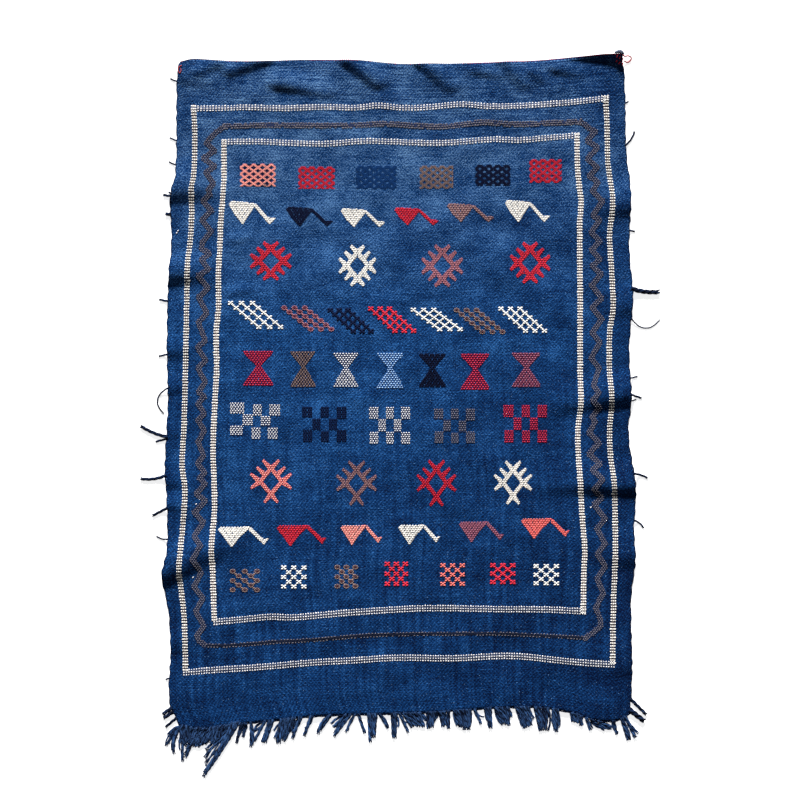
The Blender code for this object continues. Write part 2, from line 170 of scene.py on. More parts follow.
# The frames' dots: pitch along the line, step between the three lines of dots, half a dot's size along and
# across the line, the tone of the bed under them, whether the line runs down the rug, the dots' height and
# slant, how their two sizes vary, and which draws from 0 to 1 give a dot that is longer across
Dots = namedtuple("Dots", "pitch step along across bed_tone upright height slant alongs acrosses long")
LEVEL = (False, 1.4, 14, (0.85, 1.12), (0.85, 1.3), (0.8, 1.0))
UPRIGHT = (True, 1.3, 10, (0.88, 1.1), (0.9, 1.12), (0.0, 0.12))
UPPER_DOTS = Dots(6.6, 4.9, 2.35, 1.55, 0.5, *LEVEL)
LOWER_DOTS = Dots(5.6, 5.6, 1.9, 1.5, -0.7, *LEVEL)
OUTER_SIDE_DOTS = Dots(6.2, 4.3, 2.2, 1.9, -0.6, *UPRIGHT)
INNER_SIDE_DOTS = Dots(6.2, 4.4, 2.4, 2.0, 0.9, *UPRIGHT)
LONG_DOT = 1.6
DOT_SCATTER = 0.3
DOT_SLANTS = (-0.5, 1.4)
DOT_TONES = (0.2, 0.95)

# The bed of a frame's line has a stitch for each pitch, which overlaps the next one and reaches past the
# middles of the outer dots
LINE_BED_OVERLAP = 0.6
LINE_BED_REACH = 0.8
LINE_BED_HEIGHT = 0.6

# Outer turning points of the brown zigzags down the sides, the band's width, and how far inside them its
# middle line turns at most
LEFT_ZIGZAG = [
    (-387, 578), (-404, 566), (-423, 550), (-432, 543), (-401, 526), (-439, 510), (-401, 492), (-433, 478),
    (-404, 454), (-427, 440), (-411, 430), (-440, 415), (-408, 395), (-442, 374), (-408, 349), (-440, 326),
    (-443, 311), (-412, 300), (-443, 286), (-415, 265), (-450, 251), (-415, 224), (-449, 204), (-419, 170),
    (-449, 148), (-422, 109), (-451, 94), (-421, 65), (-450, 48), (-422, 18), (-449, -4), (-424, -15),
    (-450, -31), (-424, -52), (-450, -66), (-424, -90), (-450, -114), (-426, -143), (-451, -161),
    (-424, -182), (-447, -193), (-422, -207), (-454, -228), (-421, -244), (-458, -269), (-426, -290),
    (-458, -321), (-432, -342), (-462, -372), (-431, -401), (-459, -433), (-427, -458), (-455, -486),
    (-425, -519), (-452, -540), (-443, -552), (-427, -562)]
RIGHT_ZIGZAG = [
    (395, 590), (404, 584), (417, 574), (436, 568), (405, 548), (440, 534), (406, 508), (440, 488),
    (409, 471), (441, 457), (417, 437), (451, 415), (418, 384), (445, 373), (414, 346), (446, 328),
    (415, 308), (446, 288), (416, 273), (448, 255), (415, 230), (449, 202), (416, 181), (449, 156),
    (416, 125), (445, 105), (414, 70), (444, 49), (419, 11), (442, -6), (417, -24), (444, -38), (416, -59),
    (435, -70), (409, -94), (444, -116), (409, -141), (446, -162), (416, -175), (451, -196), (420, -218),
    (450, -238), (420, -251), (457, -284), (427, -305), (457, -338), (428, -361), (457, -388), (427, -415),
    (453, -446), (424, -479), (446, -503), (443, -517), (433, -531), (405, -546)]
ZIGZAG_BAND = 12.8
ZIGZAG_INSET = 6.0

# The brown lines across: the dots' pitch, the rows' step and places, the bed's half height and tone, and
# the dots' scale
BrownLine = namedtuple("BrownLine", "pitch step rows bed bed_tone dot")
UPPER_BROWN = BrownLine(5.8, 4.9, (-1, 0, 1), 6.4, 1.2, 1.08)
LOWER_BROWN = BrownLine(6.9, 6.8, (-0.5, 0.5), 5.6, -1.2, 0.80)

# The brocaded motifs: their kind, then yarn and box
Motif = namedtuple("Motif", "kind yarn left top right bottom")
MOTIF_ROWS = {
    "lattice": [
        ("peach", -352, 497, -273, 447), ("crimson", -224, 491, -143, 442),
        ("deep_blue", -97, 493, -7, 442), ("brown", 43, 493, 117, 442), ("navy", 165, 495, 243, 449),
        ("crimson", 284, 507, 356, 455)],
    "bird": [
        ("cream", -376, 414, -273, 365), ("navy", -251, 402, -147, 361), ("cream", -130, 398, -32, 359),
        ("crimson", -12, 400, 86, 363), ("dusky", 103, 409, 208, 370), ("cream", 231, 416, 330, 370)],
    "star": [
        ("crimson", -329, 325, -239, 242), ("cream", -134, 317, -53, 229), ("mauve", 48, 318, 138, 227),
        ("crimson", 242, 324, 330, 235)],
    "slanted": [
        ("cream", -378, 196, -256, 133), ("mauve", -260, 185, -145, 129), ("navy", -158, 180, -59, 125),
        ("crimson", -69, 183, 35, 125), ("cream", 24, 180, 138, 129), ("brown", 119, 180, 231, 123),
        ("cream", 217, 183, 323, 125)],
    "hourglass": [
        ("dotted_crimson", -345, 85, -279, 10), ("brown", -241, 84, -186, 7),
        ("dotted_cream", -147, 81, -92, 7), ("pale_blue", -51, 81, 7, 4), ("navy", 41, 79, 100, 7),
        ("dotted_crimson", 133, 79, 196, 1), ("plum", 246, 81, 308, 7)],
    "checker": [
        ("dotted_cream", -373, -28, -264, -108)],
    "even_checker": [
        ("dotted_navy", -215, -37, -118, -114), ("dotted_cream", -68, -37, 22, -119),
        ("taupe", 75, -41, 164, -117), ("dotted_crimson", 228, -33, 323, -116)],
    "tall_star": [
        ("coral", -329, -155, -238, -248), ("dusky", -140, -158, -51, -253),
        ("crimson", 37, -156, 123, -255), ("cream", 207, -158, 290, -251)],
    "long_bird": [
        ("cream", -400, -301, -289, -344), ("crimson", -271, -298, -161, -342),
        ("coral", -130, -298, -40, -340), ("cream", -4, -297, 88, -339), ("plum", 130, -290, 229, -334),
        ("red_coral", 266, -283, 373, -326)],
    "knots": [
        ("brown", -374, -394, -308, -444), ("cream", -262, -386, -205, -437),
        ("brown", -144, -385, -92, -436), ("crimson", -34, -378, 18, -431),
        ("red_coral", 88, -381, 143, -431), ("crimson", 198, -381, 254, -427),
        ("cream", 293, -383, 350, -430)],
}
MOTIFS = [Motif(kind, *row) for kind, rows in MOTIF_ROWS.items() for row in rows]


def blocks(*rows):
    """Oblongs, each given by its left, right, top and bottom."""
    return [[(left, top), (right, top), (right, low), (left, low)] for left, right, top, low in rows]


# Filled shapes, as shares of a motif's box from its top left corner
SHAPES = {
    "bird": [
        [(0.0, 0.12), (0.05, 0.0), (0.55, 0.08), (0.54, 0.27), (0.43, 0.62), (0.315, 0.99), (0.285, 0.99),
         (0.11, 0.55)],
        [(0.54, 0.10), (0.585, 0.12), (0.836, 0.70), (0.81, 0.91), (0.52, 0.20)],
        [(0.83, 0.70), (1.0, 0.73), (0.868, 1.0), (0.81, 0.91)],
    ],
    "long_bird": [
        [(0, 0.15), (0.046, 0.04), (0.563, 0.02), (0.637, 0.0), (0.595, 0.16), (0.44, 0.52),
         (0.29, 1.0), (0.26, 1.0), (0.13, 0.56)],
        [(0.637, 0.01), (0.906, 0.626), (0.894, 0.894), (0.60, 0.18)],
        [(0.906, 0.626), (1.0, 0.586), (0.91, 0.89), (0.876, 0.83)],
    ],
    "hourglass": [
        [(0, 0.0), (1.0, 0.0), (0.97, 0.08), (0.60, 0.43), (1.0, 0.92), (1.0, 1.0), (0, 1.0),
         (0.03, 0.92), (0.43, 0.43), (0.03, 0.08)],
    ],
    "checker": blocks(
        (0, 0.29, 0, 0.30), (0.45, 0.64, 0.06, 0.35), (0.78, 1.0, 0.05, 0.36), (0.24, 0.46, 0.33, 0.60),
        (0.61, 0.815, 0.36, 0.64), (0, 0.26, 0.62, 0.89), (0.42, 0.615, 0.67, 0.99),
        (0.74, 0.955, 0.66, 0.99)),
    "even_checker": blocks(
        (0, 0.24, 0.01, 0.31), (0.41, 0.61, 0.01, 0.32), (0.77, 1.0, 0.01, 0.34), (0.23, 0.42, 0.33, 0.66),
        (0.60, 0.79, 0.34, 0.67), (0.02, 0.24, 0.67, 0.98), (0.42, 0.61, 0.68, 0.99),
        (0.77, 1.0, 0.67, 0.99)),
}

# Strokes of the stars, as shares of half the box from its middle, y up. Their arms are wider at the root
# than at the tip, and each stroke is drawn a little longer than its run
STAR_STROKES = {"star": 10.6, "tall_star": 9.6}
STROKE_OVERLAP = 0.22
ARM_OVERLAP = 0.2
STAR_INSET = 1.0
ARM_ROOT = 1.35
ARM_TIP = 0.62
STROKES = {
    "star": [
        [(0.6, 0), (0, 0.66), (-0.6, 0), (0, -0.66), (0.6, 0)],
        [(-0.34, 0.97), (0, 0.66), (0.34, 0.97)],
        [(-0.34, -0.97), (0, -0.66), (0.34, -0.97)],
        [(-0.98, 0.33), (-0.6, 0), (-0.98, -0.33)],
        [(0.98, 0.33), (0.6, 0), (0.98, -0.33)],
        [(0.3, 0.34), (0.66, 0.68)], [(-0.3, 0.34), (-0.66, 0.68)],
        [(0.3, -0.34), (0.66, -0.68)], [(-0.3, -0.34), (-0.66, -0.68)],
    ],
    "tall_star": [
        [(0.54, 0), (0, 0.63), (-0.54, 0), (0, -0.6), (0.54, 0)],
        [(-0.38, 1.0), (0, 0.63), (0.38, 1.0)],
        [(-0.98, 0.35), (-0.54, 0), (-0.97, -0.3)],
        [(0.98, 0.35), (0.54, 0), (0.97, -0.3)],
        [(0.28, 0.32), (0.68, 0.66)], [(-0.28, 0.32), (-0.68, 0.66)],
        [(-0.31, -0.98), (0, -0.62), (0.31, -0.98)],
    ],
}

# How floats fill a shape: their pitch along a row, the rows' pitch, their length and width as shares of
# these, their height, their slant, and how far the bed under them takes the yarn's shade
Fill = namedtuple("Fill", "pitch row length width height slant shade")
FILLS = {
    "bird": Fill(6.2, 4.4, 0.84, 0.84, 1.2, 30, 0.70),
    "long_bird": Fill(6.2, 4.2, 0.84, 0.84, 1.2, 30, 0.70),
    "hourglass": Fill(6.4, 4.4, 0.66, 0.78, 1.5, 20, 1.0),
    "checker": Fill(6.4, 4.2, 0.66, 0.78, 1.5, 14, 1.0),
    "even_checker": Fill(5.6, 4.6, 0.64, 0.80, 1.5, 10, 1.0),
    "star": Fill(6.0, 4.2, 0.78, 0.80, 1.2, 24, 0.50),
    "tall_star": Fill(5.8, 4.0, 0.72, 0.76, 1.3, 26, 0.85),
    "lattice": Fill(5.0, 2.35, 0.72, 0.86, 1.0, 20, 0.80),
    "zigzag": Fill(6.0, 3.9, 0.58, 0.80, 1.4, 28, 1.0),
}

# How far a filled shape reaches past its box, the shortest float as a share of its pitch, and the least half
# length of one
SPREAD = 0.9
SHORTEST_FLOAT = 0.36
LEAST_HALF_LENGTH = 1.2

# How single floats vary: their places in millimetres, the rest as shares
FLOAT_SCATTER = (0.2, 0.25)
FLOAT_LENGTHS = (0.92, 1.06)
FLOAT_HEIGHTS = (0.85, 1.1)
FLOAT_SLANTS = (0.4, 1.3)
FLOAT_TONES = (0.25, 0.9)

# The bed under the floats: rows of low stitches of the same yarn, in short pieces that overlap
BED_ROW = 2.0
BED_SHARE = 0.76
BED_HEIGHT = 0.6
BED_LENGTH = 14.0
BED_OVERLAP = 0.6
BED_TONE = 0.5

# Lattices: holes stand in rows, every other row shifted by half a pitch, and have a scale for each yarn
HOLE_PITCH = 19.5
HOLE_ROW = 7.0
HOLE_START = (1.0, 1.6)
HOLE_HALF_WIDTH = 6.4
HOLE_HALF_HEIGHT = 4.6
HOLE_SCALES = {"peach": 0.88, "crimson": 0.72, "brown": 0.74, "navy": 0.66, "deep_blue": 0.62}

# The bed under the peach lattice: navy rows, partly the darker weft behind its holes and partly painted shade
# in them
FLAT_BED_HEIGHT = 0.3
FLAT_BED_TONE = 0.9

# Blobs of beads: where the beads stand in a blob, and their scale for each yarn
BEAD_CROSS = [(-3.5, 2.8), (3.5, 2.8), (0, 0), (-3.5, -2.8), (3.5, -2.8)]
BEAD_RING = [(-3.6, 3.1), (0, 4.1), (3.6, 3.1), (-5.3, 0), (5.3, 0), (-3.6, -3.1), (0, -4.1), (3.6, -3.1)]
BEAD_SHARES = {"brown": 0.60, "mauve": 0.62, "navy": 1.15, "crimson": 1.08, "cream": 0.92, "red_coral": 0.95}
BEAD_HALF_SIZE = (3.1, 2.3)
BEAD_HEIGHT = 1.4
BEAD_SLANT = 16
RINGED_YARNS = ("brown", "mauve")

# The bed under a blob, the link towards the next one and a ring's eye, each as a stitch without its place
BLOB_BED = (4.5, 3.3, 0.5, 0, 0.4, 0.8)
BLOB_LINK = (3.0, 2.2, 1.1, 0, 0.5, 0.1)
BLOB_EYE = (1.9, 1.3, BEAD_HEIGHT, 0, 0.6, 0.0)

# The slanted lattices' blobs, as shares of the box: the first one, the step down a line and to the next line
SLANTED_DOWN = 6
SLANTED_ACROSS = 3
SLANTED_START = (0.047, 0.08)
SLANTED_STEP = (0.1016, 0.168)
SLANTED_SHIFT = 0.197

# The knots' rows of three and two blobs: the inset of the outer ones and the step of a link
KNOT_ROWS = 5
KNOT_INSET = (6.2, 4.6)
KNOT_LINK = (6.4, -6.2)

# Each yarn's screen colours, for the top of a float and the gaps between floats, and its slot
# The gap colour is partly the darker yarn between the floats and partly painted shade in those gaps
Yarn = namedtuple("Yarn", "colour gap slot")
YARNS = {
    "cream": Yarn((255, 254, 249), (222, 211, 200), "cream_yarn"),
    "white": Yarn((250, 247, 246), (92, 104, 136), "cream_yarn"),
    "warm_white": Yarn((255, 252, 244), (150, 136, 134), "cream_yarn"),
    "crimson": Yarn((230, 54, 74), (138, 4, 32), "crimson_yarn"),
    "coral": Yarn((255, 184, 168), (206, 62, 80), "coral_yarn"),
    "red_coral": Yarn((244, 132, 122), (214, 60, 76), "coral_yarn"),
    "peach": Yarn((255, 190, 174), (232, 112, 112), "coral_yarn"),
    "brown": Yarn((156, 130, 122), (52, 46, 60), "brown_yarn"),
    "mauve": Yarn((180, 120, 128), (104, 40, 72), "mauve_yarn"),
    "plum": Yarn((172, 108, 126), (100, 38, 70), "mauve_yarn"),
    "taupe": Yarn((128, 124, 132), (40, 50, 82), "brown_yarn"),
    "dusky": Yarn((166, 132, 130), (98, 56, 72), "mauve_yarn"),
    "dotted_cream": Yarn((255, 254, 252), (52, 62, 100), "cream_yarn"),
    "dotted_navy": Yarn((3, 10, 36), (8, 30, 70), "navy_yarn"),
    "dotted_crimson": Yarn((220, 60, 84), (100, 14, 56), "crimson_yarn"),
    "maroon": Yarn((96, 8, 36), (50, 8, 30), "crimson_yarn"),
    "navy": Yarn((14, 26, 60), (4, 10, 34), "navy_yarn"),
    "deep_blue": Yarn((18, 62, 116), (12, 48, 98), "blue_wool"),
    "pale_blue": Yarn((178, 212, 244), (34, 84, 150), "pale_blue_yarn"),
}

# The cut warp ends: a row for each lock, from its left root to its right root, gathered at its tip
Lock = namedtuple("Lock", "left right strands tip drop spread bow", defaults=(0, 0))
FRINGE_LOCKS = [Lock(*row) for row in (
    (-484, -480, 1, -508, 27, 0, 2), (-484, -480, 1, -514, 45, 0, 4), (-484, -480, 1, -502, 53, 0, 6),
    (-482, -476, 1, -497, 62, 0, 8), (-446, -440, 1, -472, 66), (-472, -466, 1, -478, 78, 0, 4),
    (-462, -424, 4, -462, 34, 24, 2), (-421, -381, 4, -410, 32, 34, 2), (-374, -354, 3, -431, 103, 6, -2),
    (-352, -346, 1, -360, 44), (-343, -337, 1, -345, 32), (-330, -324, 1, -328, 55),
    (-300, -294, 1, -321, 45), (-291, -276, 2, -299, 50, 8), (-265, -231, 4, -264, 50, 20),
    (-224, -217, 1, -237, 48), (-199, -192, 1, -211, 44), (-158, -151, 1, -181, 42, 0, 5),
    (-122, -116, 1, -147, 28), (-112, -106, 1, -146, 49), (-103, -98, 1, -120, 40), (-94, -88, 1, -77, 42),
    (-72, -50, 3, -61, 58, 13), (-47, -41, 1, -26, 32), (-20, -5, 2, -13, 50, 7), (-3, 3, 1, 19, 43),
    (6, 46, 5, 40, 32, 33), (57, 81, 3, 66, 34, 12), (84, 111, 3, 101, 36, 18), (117, 156, 5, 142, 41, 22),
    (162, 168, 1, 179, 34), (187, 202, 2, 199, 42, 6), (206, 240, 4, 233, 37, 18),
    (252, 287, 4, 279, 44, 24), (293, 330, 4, 314, 50, 14), (334, 348, 2, 343, 52, 6),
    (374, 402, 4, 389, 22, 24), (407, 413, 1, 419, 28), (419, 425, 1, 450, 24), (434, 440, 1, 466, 17),
    (467, 473, 1, 477, 31), (484, 500, 2, 510, 45, 32))]

# The strands' drawn variation, their width at the root, and how much fuller than their root they are
FRINGE_SEED = 11
DROP_VARIATION = 0.12
FRINGE_ROOT_WIDTH = 5.4
ROOT_FILL = 0.8
TIP_SHARE = 0.9
FULLNESS = 1.75
END_FULLNESS = 1.45

# Thinner strands that fill a lock out: how many, and how their tips, drops, bows and widths vary
FILLERS = 2
FILLER_TIPS = (-7, 7)
FILLER_DROPS = (-0.05, 0.55)
FILLER_BOWS = (-6, 6)
FILLER_WIDTHS = (0.9, 1.5)

# The dense tangle at the left corner: how many strands, and how their places and sizes vary
TANGLE = 58
TANGLE_ROOTS = (-480, -366)
TANGLE_RUNS = (-100, -30)
TANGLE_DROPS = (-48, -18)
TANGLE_LEFT_END = -488
TANGLE_BOWS = (-4, 4)
TANGLE_WIDTHS = (5.0, 8.0)

# Loose weft ends: the root on a side, the tip, the width and a bow sideways
WeftEnd = namedtuple("WeftEnd", "root_y tip_x tip_y width bow", defaults=(0,))
LEFT_ENDS = [WeftEnd(*row) for row in (
    (678, -506, 685, 3), (548, -507, 555, 3), (494, -509, 502, 3), (426, -521, 429, 4.5),
    (432, -509, 436, 3), (386, -516, 387, 6), (195, -530, 199, 4), (78, -531, 74, 3.5),
    (4, -519, -53, 3, 19), (-103, -571, -79, 6, -3), (-189, -571, -195, 5.5, -4), (-260, -545, -277, 5),
    (-108, -538, -114, 4), (-328, -536, -321, 3, -3), (-634, -516, -637, 3), (-700, -522, -713, 6.5),
    (-708, -520, -722, 6.5), (-722, -516, -742, 5))]
RIGHT_ENDS = [WeftEnd(*row) for row in (
    (631, 503, 635, 3), (539, 516, 570, 3.6, 3), (351, 517, 349, 3.5), (222, 571, 216, 8, 3),
    (157, 572, 155, 2.6, 20), (26, 523, 30, 3), (-10, 532, -18, 4), (-184, 545, -194, 4, -2),
    (-287, 536, -304, 3.5, -3), (-680, 542, -714, 6), (-24, 520, -21, 2.5), (-704, 537, -728, 9))]

# The wound knot at the hem's right corner, sunk into the cloth: a core that swells from its ends to its
# middle and a coil round it. The thread's loop starts beside it and carries its own heights
CORNER_KNOT = [(471, 739.4), (478, 741.0), (485, 741.0), (491, 736.0)]
KNOT_SINK = 2.6
KNOT_RADIUS = 1.2
KNOT_SWELL = 2.6
KNOT_TURNS = 6
COIL_RADIUS = 1.0
KNOT_STEPS = 12
CORNER_LOOP = [(488, 736, 14), (494, 733.0, 9), (501, 734.6, 5), (507, 732.5, 3), (508.5, 728.0, 2),
               (504, 722.0, 2), (499, 720.6, 2), (492.6, 723.4, 5)]
LOOP_RADIUS = 1.5
THREAD_STEPS = 6

# The small hook of thread at the hem's left corner
LEFT_HOOK = [(-479, 713), (-485, 710), (-487, 703), (-484, 696), (-481, 701), (-482, 707)]
HOOK_RADIUS = 1.0
HOOK_LIFT = 0.8

# The overcast stitches of the hem: their steps, a stitch without its place, tone and bed, how far inside the
# edge they lie, and where they are red
HEM_PITCH = (3.4, 4.6)
HEM_STITCH = (1.9, 1.0, 0.9, 55)
HEM_INSET = 0.9
RED_FROM = 150
RED_PATCH = (-200, -90)
STRAY_RED = 0.15

# Larger red stitches beside the knot
CORNER_STITCHES = [(476, 733), (482.5, 729.6), (489, 726.2), (476, 722.8), (482.5, 719.4), (489, 716.0)]
CORNER_STITCH = (3.6, 1.5, 3.4, 62, 0.8, 0.0)

# White flecks on the cloth, each as a stitch without its place
FLECKS = [(-491, 345), (-488, 350), (-448, -251), (-455, -412), (419, -258)]
FLECK = (2.6, 1.3, 1.2, 50, 0.9, 0.0)


# Shape of the cloth

def curve_weights(t):
    """How far a smooth curve between two points follows each of them and its slope there."""
    return (1 + 2 * t) * (1 - t) ** 2, t * t * (3 - 2 * t), t * (1 - t) ** 2, t * t * (t - 1)


def slope_at(points, index):
    """Slope of the smooth line through the points, at one of them."""
    before = points[max(index - 1, 0)]
    after = points[min(index + 1, len(points) - 1)]
    return (after.across - before.across) / (after.along - before.along)


def edge_at(points, along):
    """Reads a smooth line through an edge's points."""
    rising = points[-1].along > points[0].along
    index = 0
    while index < len(points) - 2 and (along > points[index + 1].along) == rising:
        index += 1
    low, high = points[index:index + 2]
    span = high.along - low.along
    hold_low, hold_high, lean_low, lean_high = curve_weights((along - low.along) / span)
    return (hold_low * low.across + hold_high * high.across
            + span * (lean_low * slope_at(points, index) + lean_high * slope_at(points, index + 1)))


def between(low, high, share):
    return low + (high - low) * share


def on_level_edge(points, share):
    x = between(points[0].along, points[-1].along, share)
    return np.array((x, edge_at(points, x)))


def on_side_edge(points, share):
    """A place on a side, with the small bumps of the woven edge."""
    y = between(points[0].along, points[-1].along, share)
    bumps = (BROAD_BUMP * math.sin(y / BROAD_BUMP_LENGTH + 2 * math.sin(y / BUMP_DRIFT))
             + FINE_BUMP * math.sin(y / FINE_BUMP_LENGTH))
    return np.array((edge_at(points, y) + bumps, y))


def cloth_places():
    """Places of the cloth's grid: u runs from the left side to the right, v from the hem to the fringe."""
    us = np.linspace(0.0, 1.0, CELLS_ACROSS + 1)
    vs = np.linspace(0.0, 1.0, CELLS_ALONG + 1)
    hem = np.array([on_level_edge(HEM_EDGE, u) for u in us])[None, :, :]
    fringe = np.array([on_level_edge(FRINGE_EDGE, u) for u in us])[None, :, :]
    left = np.array([on_side_edge(LEFT_EDGE, v) for v in vs])[:, None, :]
    right = np.array([on_side_edge(RIGHT_EDGE, v) for v in vs])[:, None, :]
    u = us[None, :, None]
    v = vs[:, None, None]
    corners = ((hem[:, :1] * (1 - u) + hem[:, -1:] * u) * (1 - v)
               + (fringe[:, :1] * (1 - u) + fringe[:, -1:] * u) * v)
    places = hem * (1 - v) + fringe * v + left * (1 - u) + right * u - corners
    places[:, :, 0] += (2 * us[None, :] - 1) * SIDE_MARGIN
    places[:, :, 1] -= vs[:, None] * FRINGE_MARGIN
    return us, vs, places


def wave_table():
    """Directions, lengths and phases of the cloth's low waves."""
    drawn = random.Random(WAVE_SEED)
    rows = []
    for _ in range(WAVES):
        angle = drawn.uniform(0, math.pi)
        length = drawn.uniform(*WAVE_LENGTHS)
        phase = drawn.uniform(0, 2 * math.pi)
        rows.append((math.cos(angle) * 2 * math.pi / length, math.sin(angle) * 2 * math.pi / length, phase,
                     length / WAVE_LENGTHS[1]))
    return rows


WAVE_ROWS = wave_table()


def lift_at(xs, ys):
    """Height of the cloth's underside over the floor, from the folds and the low waves."""
    xs = np.asarray(xs, dtype=float)
    ys = np.asarray(ys, dtype=float)
    lift = np.zeros_like(xs)
    for fold in FOLDS:
        crest_x, crest_y = fold.end_x - fold.start_x, fold.end_y - fold.start_y
        off_x, off_y = xs - fold.start_x, ys - fold.start_y
        share = np.clip((off_x * crest_x + off_y * crest_y) / (crest_x ** 2 + crest_y ** 2), 0.0, 1.0)
        off_x = off_x - crest_x * share
        off_y = off_y - crest_y * share
        distance = np.hypot(off_x, off_y)
        downwards = np.clip(-off_y / np.maximum(distance, 0.001), 0.0, 1.0)
        reach = fold.half_width * (1 - fold.steep * downwards)
        share_out = np.clip(distance / reach, 0.0, 1.0)
        lift += between(fold.start_lift, fold.end_lift, share ** FOLD_HOLD) * (1 - share_out ** 2) ** 2
    wave = np.zeros_like(xs)
    for wave_x, wave_y, phase, weight in WAVE_ROWS:
        wave += weight * np.sin(xs * wave_x + ys * wave_y + phase)
    wave *= WAVE_HEIGHT / math.sqrt(WAVES / 2)
    return lift + np.maximum(wave + WAVE_RAISE * WAVE_HEIGHT, 0.0)


def surface_at(xs, ys):
    return lift_at(xs, ys) + THICKNESS


# Meshes

def linked(name, data):
    """A new object in the scene."""
    item = bpy.data.objects.new(name, data)
    bpy.context.scene.collection.objects.link(item)
    return item


def link_mesh(name, vertices, faces, material):
    """Writes points in millimetres and faces into a new object that rides on the rug."""
    mesh = bpy.data.meshes.new(name)
    mesh.from_pydata((np.asarray(vertices) * MM).tolist(), [], faces)
    mesh.validate()
    mesh.shade_smooth()
    mesh.materials.append(material)
    item = linked(name, mesh)
    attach(item, "root")
    return item


def write_corner_uv(mesh, name, vertex_uv):
    """Gives every corner of every face the place that its vertex has in a map."""
    layer = mesh.uv_layers.new(name=name)
    corners = np.empty(len(mesh.loops), dtype=np.int32)
    mesh.loops.foreach_get("vertex_index", corners)
    layer.data.foreach_set("uv", np.asarray(vertex_uv, dtype=np.float32)[corners].ravel())


def write_colour(mesh, name, vertex_colour):
    attribute = mesh.attributes.new(name=name, type="FLOAT_COLOR", domain="POINT")
    attribute.data.foreach_set("color", np.asarray(vertex_colour, dtype=np.float32).ravel())


def build_cloth(material):
    us, vs, places = cloth_places()
    rows, columns = len(vs), len(us)
    xs = places[:, :, 0]
    ys = places[:, :, 1]
    under = lift_at(xs, ys)
    top_points = np.stack((xs, ys, under + THICKNESS), axis=2).reshape(-1, 3)
    low_points = np.stack((xs, ys, under), axis=2).reshape(-1, 3)
    count = rows * columns
    numbers = np.arange(count).reshape(rows, columns)
    quads = np.stack((numbers[:-1, :-1], numbers[1:, :-1], numbers[1:, 1:], numbers[:-1, 1:]), axis=2)
    top_faces = quads.reshape(-1, 4)
    low_faces = top_faces[:, ::-1] + count
    rim = np.concatenate((numbers[:, 0], numbers[-1, 1:], numbers[-2::-1, -1], numbers[0, -2:0:-1]))
    following = np.roll(rim, -1)
    rim_faces = np.stack((rim, rim + count, following + count, following), axis=1)
    faces = np.concatenate((top_faces, low_faces, rim_faces)).tolist()
    cloth = link_mesh("woven_cloth", np.concatenate((top_points, low_points)), faces, material)
    across = np.broadcast_to(us[None, :], (rows, columns)).ravel() * FLAT_WIDTH
    along = np.broadcast_to(vs[:, None], (rows, columns)).ravel() * FLAT_LENGTH
    weave = np.stack((across, along), axis=1)
    write_corner_uv(cloth.data, "weave", np.concatenate((weave, weave)))
    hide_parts("rug_cloth")


# Stitches

# A stitch's place, half its size, its height, its angle in degrees, its tone, where 0.5 keeps the yarn's
# colour and more is brighter, and how far it takes the yarn's gap colour, as a bed does. Its pillow is a
# ring, a smaller one over it and a middle point, and the yarn's pattern shifts from each stitch to the next
Stitch = namedtuple("Stitch", "x y half_length half_width height angle tone bed")
RING = 6
OUTLINE_POWER = 0.72
LEVELS = ((1.0, -0.5), (0.80, 0.72))
STITCH_SINK = 0.5
YARN_STEP = 7.31
YARN_SHIFT = 0.37


def build_stitches(name, stitches, material):
    """Makes all the stitches of one yarn as low closed pillows on the cloth."""
    x, y, half_length, half_width, height, angle, tone, bed = np.array(stitches, dtype=float).T[:, :, None]
    turns = (np.arange(RING) + 0.5) * 2 * math.pi / RING
    ring = [np.sign(part) * np.abs(part) ** OUTLINE_POWER for part in (np.cos(turns), np.sin(turns))]
    local = [(*place, level) for scale, level in LEVELS for place in np.transpose(ring) * scale]
    local = np.array(local + [(0.0, 0.0, 1.0)])
    along = local[:, 0] * half_length
    side = local[:, 1] * half_width
    level = np.broadcast_to(local[:, 2], along.shape)
    cos_angle, sin_angle = np.cos(np.radians(angle)), np.sin(np.radians(angle))
    xs = x + along * cos_angle - side * sin_angle
    ys = y + along * sin_angle + side * cos_angle
    zs = surface_at(xs, ys) + np.where(level < 0, -STITCH_SINK, level * height)
    pattern = [tuple(reversed(range(RING)))]
    for step in range(RING):
        ahead = (step + 1) % RING
        pattern.append((step, ahead, RING + ahead, RING + step))
        pattern.append((RING + step, RING + ahead, 2 * RING))
    faces = [tuple(start + corner for corner in face)
             for start in range(0, xs.size, len(local)) for face in pattern]
    item = link_mesh(name, np.stack((xs, ys, zs), axis=2).reshape(-1, 3), faces, material)
    offset = np.arange(len(stitches))[:, None] * YARN_STEP
    uv = np.stack((along + offset, side + offset * YARN_SHIFT), axis=2).reshape(-1, 2) * MM
    write_corner_uv(item.data, "yarn", uv)
    # The level over a stitch's base goes into the look, where it sets the painted shade round the rim
    look = np.stack(np.broadcast_arrays(tone, bed, np.clip(level, 0, 1), 1.0), axis=2)
    write_colour(item.data, "look", look.reshape(-1, 4))
    return item


def crossings(polygon, y):
    """Where a level line crosses a polygon, from left to right."""
    found = []
    for (x0, y0), (x1, y1) in zip(polygon, polygon[1:] + polygon[:1]):
        if (y0 > y) != (y1 > y):
            found.append(x0 + (x1 - x0) * (y - y0) / (y1 - y0))
    return sorted(found)


def spans(polygons, y):
    """The stretches of a level line that lie inside any of the polygons."""
    pieces = []
    for polygon in polygons:
        found = crossings(polygon, y)
        pieces.extend(zip(found[::2], found[1::2]))
    merged = []
    for left, right in sorted(pieces):
        if merged and left <= merged[-1][1]:
            merged[-1][1] = max(merged[-1][1], right)
        else:
            merged.append([left, right])
    return merged


